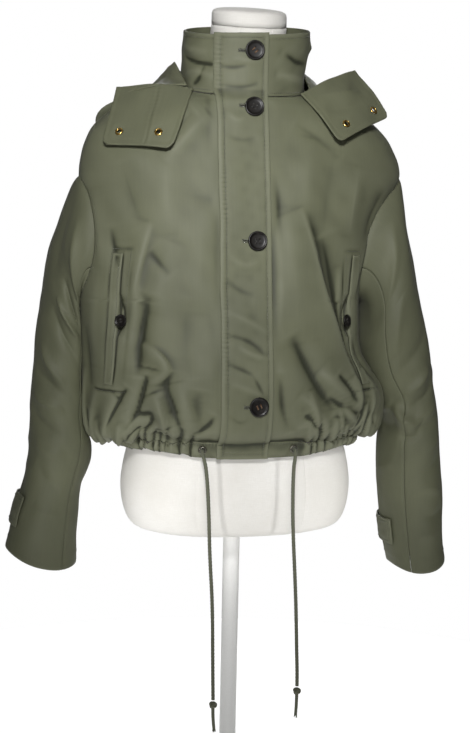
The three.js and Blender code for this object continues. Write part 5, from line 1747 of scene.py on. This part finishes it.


# Buttons: dished horn discs with a raised rim and four holes, sewn on with brown thread on buttons 1 and 4
# and dark thread on the others

button = {"diameter": 28.0, "small": 18.0, "holeRadius": 0.045, "holeShare": 0.095,
          "pocketAngle": mix(63, 56, (768 - 676) / 186) - 10.5}


def spunPiece(name, profile, closed, steps, material):
    # turns a profile of radii and heights in millimetres round the Z axis
    mesh = bpy.data.meshes.new(name)
    made = bmesh.new()
    spine = [made.verts.new((radius * mm, 0, height * mm)) for radius, height in profile]
    edges = [made.edges.new(pair) for pair in zip(spine, spine[1:] + spine[:1] * closed)]
    bmesh.ops.spin(made, geom=spine + edges, axis=(0, 0, 1), cent=(0, 0, 0), angle=2 * math.pi, steps=steps)
    bmesh.ops.remove_doubles(made, verts=made.verts, dist=1e-6)
    bmesh.ops.recalc_face_normals(made, faces=made.faces)
    made.to_mesh(mesh)
    made.free()
    mesh.materials.append(material)
    piece = bpy.data.objects.new(name, mesh)
    bpy.context.scene.collection.objects.link(piece)
    return piece


def makeButton(name, diameter, place, normal, roll, node, sewn):
    # share of the radius, and height in millimetres
    profile = [(0.0, 0.0), (0.8, 0.0), (0.93, 0.5), (0.99, 1.2), (1.0, 1.9), (0.985, 2.9), (0.94, 3.45),
               (0.88, 3.6), (0.82, 3.3), (0.76, 2.75), (0.7, 2.45), (0.6, 2.3), (0.0, 2.2)]
    piece = spunPiece(name, [(share * diameter / 2, height) for share, height in profile], False, 72, horn)
    offset = button["holeShare"] * diameter
    drills = []
    for i, j in ((1, 1), (1, -1), (-1, 1), (-1, -1)):
        bpy.ops.mesh.primitive_cylinder_add(vertices=20, radius=button["holeRadius"] * diameter * mm,
                                            depth=0.02, location=(i * offset * mm, j * offset * mm, 0))
        drills.append(bpy.context.object)
    drill = joinPieces("buttonDrill", drills)
    cut = piece.modifiers.new("holes", "BOOLEAN")
    cut.object = drill
    cut.operation = "DIFFERENCE"
    selectOnly(piece)
    bpy.ops.object.modifier_apply(modifier="holes")
    bpy.data.objects.remove(drill)
    bpy.ops.object.shade_smooth_by_angle(angle=math.radians(38))
    turn = Vector(normal).to_track_quat("Z", "Y").to_matrix().to_4x4() @ Matrix.Rotation(roll, 4, "Z")
    seatMatrix = Matrix.Translation(Vector(place) * mm) @ turn
    piece.data.transform(seatMatrix)
    piece.select_set(False)
    finishPiece(piece, "horn_button", node)
    # thread: two strands over each pair of holes
    strands = []
    for j in (-1, 1):
        for sideways in (-0.45, 0.45):
            arc = [(-offset, -1.2), (-offset, 1.4), (-offset * 0.7, 2.95), (0, 3.25), (offset * 0.7, 2.95),
                   (offset, 1.4), (offset, -1.2)]
            local, _ = curvePoints([(x, j * offset + sideways, z) for x, z in arc], 0.6)
            placed = [seatMatrix @ (Vector(point) * mm) / mm for point in local]
            strands.append(tubeMesh("strand", np.array(placed), 0.42, 8, sewn))
    finishPiece(joinPieces(f"{name}Thread", strands), "horn_button")


def makeEyelet(name, outer, inner, height, place, normal, material, slot, node):
    # a barrel with a rolled rim: radius and height
    profile = [(inner, -0.6), (inner, height * 0.4), (inner + 0.35, height * 0.85), (inner + 0.9, height),
               (inner * 0.5 + outer * 0.5, height * 0.96), (outer - 0.7, height * 0.72),
               (outer, height * 0.2), (outer, 0.0), (outer - 0.5, -0.15), (inner + 0.6, -0.15),
               (inner + 0.5, -0.6)]
    piece = spunPiece(name, profile, True, 48, material)
    piece.data.polygons.foreach_set("use_smooth", [True] * len(piece.data.polygons))
    turn = Vector(normal).to_track_quat("Z", "Y").to_matrix().to_4x4()
    piece.data.transform(Matrix.Translation(Vector(place) * mm) @ turn)
    finishPiece(piece, slot, node)


# The jacket, piece by piece

frontRight = makeFront(-1, "front_right")
frontLeft = makeFront(1, "front_left")
backSheet = makeBack()
casing = makeCasing()
print("body made")
collarSheet = makeCollar()
flapSheet = makeFlap()
print("collar and storm flap made")
sleeves = {}
for side, name in ((-1, "right"), (1, "left")):
    sleeves[side] = (
        makeSleevePanel(side, f"sleeve_{name}_outer", sleeve["backSeam"] - 360, sleeve["frontSeam"],
                        sleeve["outerColumns"]),
        makeSleevePanel(side, f"sleeve_{name}_inner", sleeve["frontSeam"], sleeve["backSeam"],
                        sleeve["innerColumns"]),
        makeCuffStrap(side, f"cuff_strap_{name}"),
        makeWelt(side, f"pocket_welt_{name}"),
    )
print("sleeves and welts made")
hoodSheet = makeHood()
flapSheets = {side: makeHoodFlap(side) for side in (-1, 1)}
print("hood made")
makeForm()
makeStand()
print("form and stand made")

# the top button sits on the collar's part of the flap and three sit below it
collarAngle = angleOfCollarX(1.0, 64)
collarTurn = math.radians(collarAngle)
buttonSeats = [(collarPoint(np.array([collarAngle]), np.array([64.0]))[0],
                unit(np.array([math.sin(collarTurn) / 91, -math.cos(collarTurn) / 76, 0])))]
for height in (1070.0, 882.0, 652.0):
    front, level = np.array([0.0]), np.array([height])
    buttonSeats.append((bodyBase(front, level)[0], bodyNormal(front, level)[0]))
flapFace = flap["lift"] + flap["thickness"] / 2
for number, (base, normal) in enumerate(buttonSeats, 1):
    sewn = buttonThread if number in (1, 4) else darkThreadAndSlitShade
    makeButton(f"largeButton{number}", button["diameter"], base + normal * (flapFace + 0.8), normal,
               0.35 + number * 0.4, f"button_{number}", sewn)
for side, name in ((-1, "right"), (1, "left")):
    normal = bodyNormal(np.array([side * button["pocketAngle"]]), np.array([768.0]))[0]
    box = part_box(f"pocket_button_{name}")
    centre = np.array([(a + b) / 2 for a, b in zip(*box)]) / mm
    makeButton(f"pocketButton{name}", button["small"], centre - normal * 1.8, normal, 0.3,
               f"pocket_button_{name}", darkThreadAndSlitShade)
print("buttons made")
for index, side in enumerate((-1, 1)):
    for i, (across, down) in enumerate(eyeletPlaces):
        place, normal = hoodFlapPlace(hoodFlaps[side], np.array([across]), np.array([down]))
        number = index * 2 + i + 1
        makeEyelet(f"hoodEyelet{number}", 6.0, 3.2, 1.5, place[0] + normal[0], normal[0], brass,
                   "brass_eyelet", f"hood_eyelet_{number}")
hemEyelets = {"right": ((-72.3, -118.4, 585.9), (-0.267, -0.958, -0.107)),
              "left": ((60.2, -121.7, 585.9), (0.199, -0.975, -0.098))}
for name, (place, normal) in hemEyelets.items():
    makeEyelet(f"hemEyelet_{name}", 6.2, 3.6, 1.7, np.array(place) + np.array(normal) * 1.4, normal, gunmetal,
               "gunmetal_eyelet", f"hem_eyelet_{name}")
print("eyelets made")


# Stitches: rows beside the edges and seams, and the bound buttonholes of the storm flap

flapUp = np.arange(577, 1170, 3.0)
for x in (flap["right"] + flap["stitchIn"], flap["left"] - 7.5):
    sewOn(flapSheet, x, flapUp)
for z in (580, 584, 1167):
    sewOn(flapSheet, np.arange(-43, 13, 3.0), z)
collarRun = np.arange(24, collarLengths[-1] - 56, 3.0)
for rise in (5.0, collar["height"] - 6.5):
    sewOn(collarSheet, collarRun, rise)
for z in (577, 594.5):
    sewOn(casing, np.arange(24, 1005, 3.0), z)


def armholeRow(sheet, side, fromBack):
    heights = np.arange(body["armholeBottom"] + 6, body["armholeTop"] - 4, 3.0)
    places = []
    for z in heights:
        turn = 90 + armholeSpread(side, z) if fromBack else 90 - armholeSpread(side, z)
        place = abs(float(acrossAt(np.array(side * turn), np.array(z))))
        whole = abs(float(acrossAt(np.array(side * 180.0), np.array(z))))
        places.append(side * ((whole - place if fromBack else place) - 5))
    sewOn(sheet, places, heights)


for side, front in ((-1, frontRight), (1, frontLeft)):
    armholeRow(front, side, False)
    armholeRow(backSheet, side, True)
    outer, inner, strap, welt = sleeves[side]
    # pocket: its outer line, the rows across both ends and the row that holds the facing
    heights = np.arange(666, 869, 3.0)
    sewOn(front, mouthAcross(side, heights) + side * 17.5, heights)
    heights = np.arange(790, 868, 3.0)
    sewOn(front, mouthAcross(side, heights) - side * 13, heights)
    for z, first, last in ((868, 17.5, -13), (667, 46, -22)):
        sewOn(front, mouthAcross(side, z) + side * np.linspace(first, last, 20), z)
    heights = np.arange(680, 860, 3.0)
    sewOn(welt, mouthAcross(side, heights) + side * 3.5, heights)
    # sleeve: both seams, the armhole and the hem
    downs = np.arange(24, 632, 3.0)
    for turn in (sleeve["frontSeam"] * 1.1 - 5, (sleeve["backSeam"] - 360) * 1.1 + 5):
        sewOn(outer, turn, downs)
    for sheet, first, last in ((outer, -126, 126), (inner, 133, 263)):
        for down in (5, 620):
            sewOn(sheet, np.arange(first, last, 3.0), down)
    steps = np.linspace(0, 4, 121)
    sewOn(strap, np.interp(steps, range(5), (5.5, 148, 148, 5.5, 5.5)),
          np.interp(steps, range(5), (5.5, 5.5, 39, 39, 5.5)))
    # hood flap: two rows round its free edges
    width, height = hoodFlaps[side]["width"], hoodFlaps[side]["height"]
    steps = np.linspace(0, 3, 100)
    for inset in (3.0, 7.5):
        across = np.interp(steps, range(4), (inset, inset, width - inset, width - inset))
        down = np.interp(steps, range(4), (4, height - inset, height - inset, 4))
        sewOn(flapSheets[side], across, -down)
downs = np.arange(4, 84, 3.0)
sewOn(flapSheets[-1], 44 - downs * 0.06, -downs)
sewOn(hoodSheet, np.arange(-208, 208, 3.0), 22)
downs = np.arange(26, 300, 3.0)
for across in (-4, 4):
    sewOn(hoodSheet, across, downs)

bindLook = {"pitch": 0.85, "length": 0.8, "width": 2.4, "height": 0.34}
slitShades = []
for z in (1149, 1071, 882, 651):
    for rise in (-1.5, 1.5):
        sewOn(flapSheet, np.arange(-20, -2, 1.0), z + rise, bindLook)
    sewOn(flapSheet, -20.5, z + np.linspace(-2.4, 2.4, 6), bindLook)
    # a near-black tube along each buttonhole is painted shade for the inside of its slit
    points, _ = onSheet(flapSheet, np.arange(-20, -2, 1.0), np.full(18, float(z)), -0.1)
    slitShades.append(tubeMesh("slitShade", points, 0.5, 6, darkThreadAndSlitShade))
finishPiece(makeStitches("seamStitches", stitchRows, sewingThread), "olive_cotton")
finishPiece(joinPieces("buttonholeSlitShades", slitShades), "olive_cotton")
print("stitches made:", len(stitchRows), "rows")
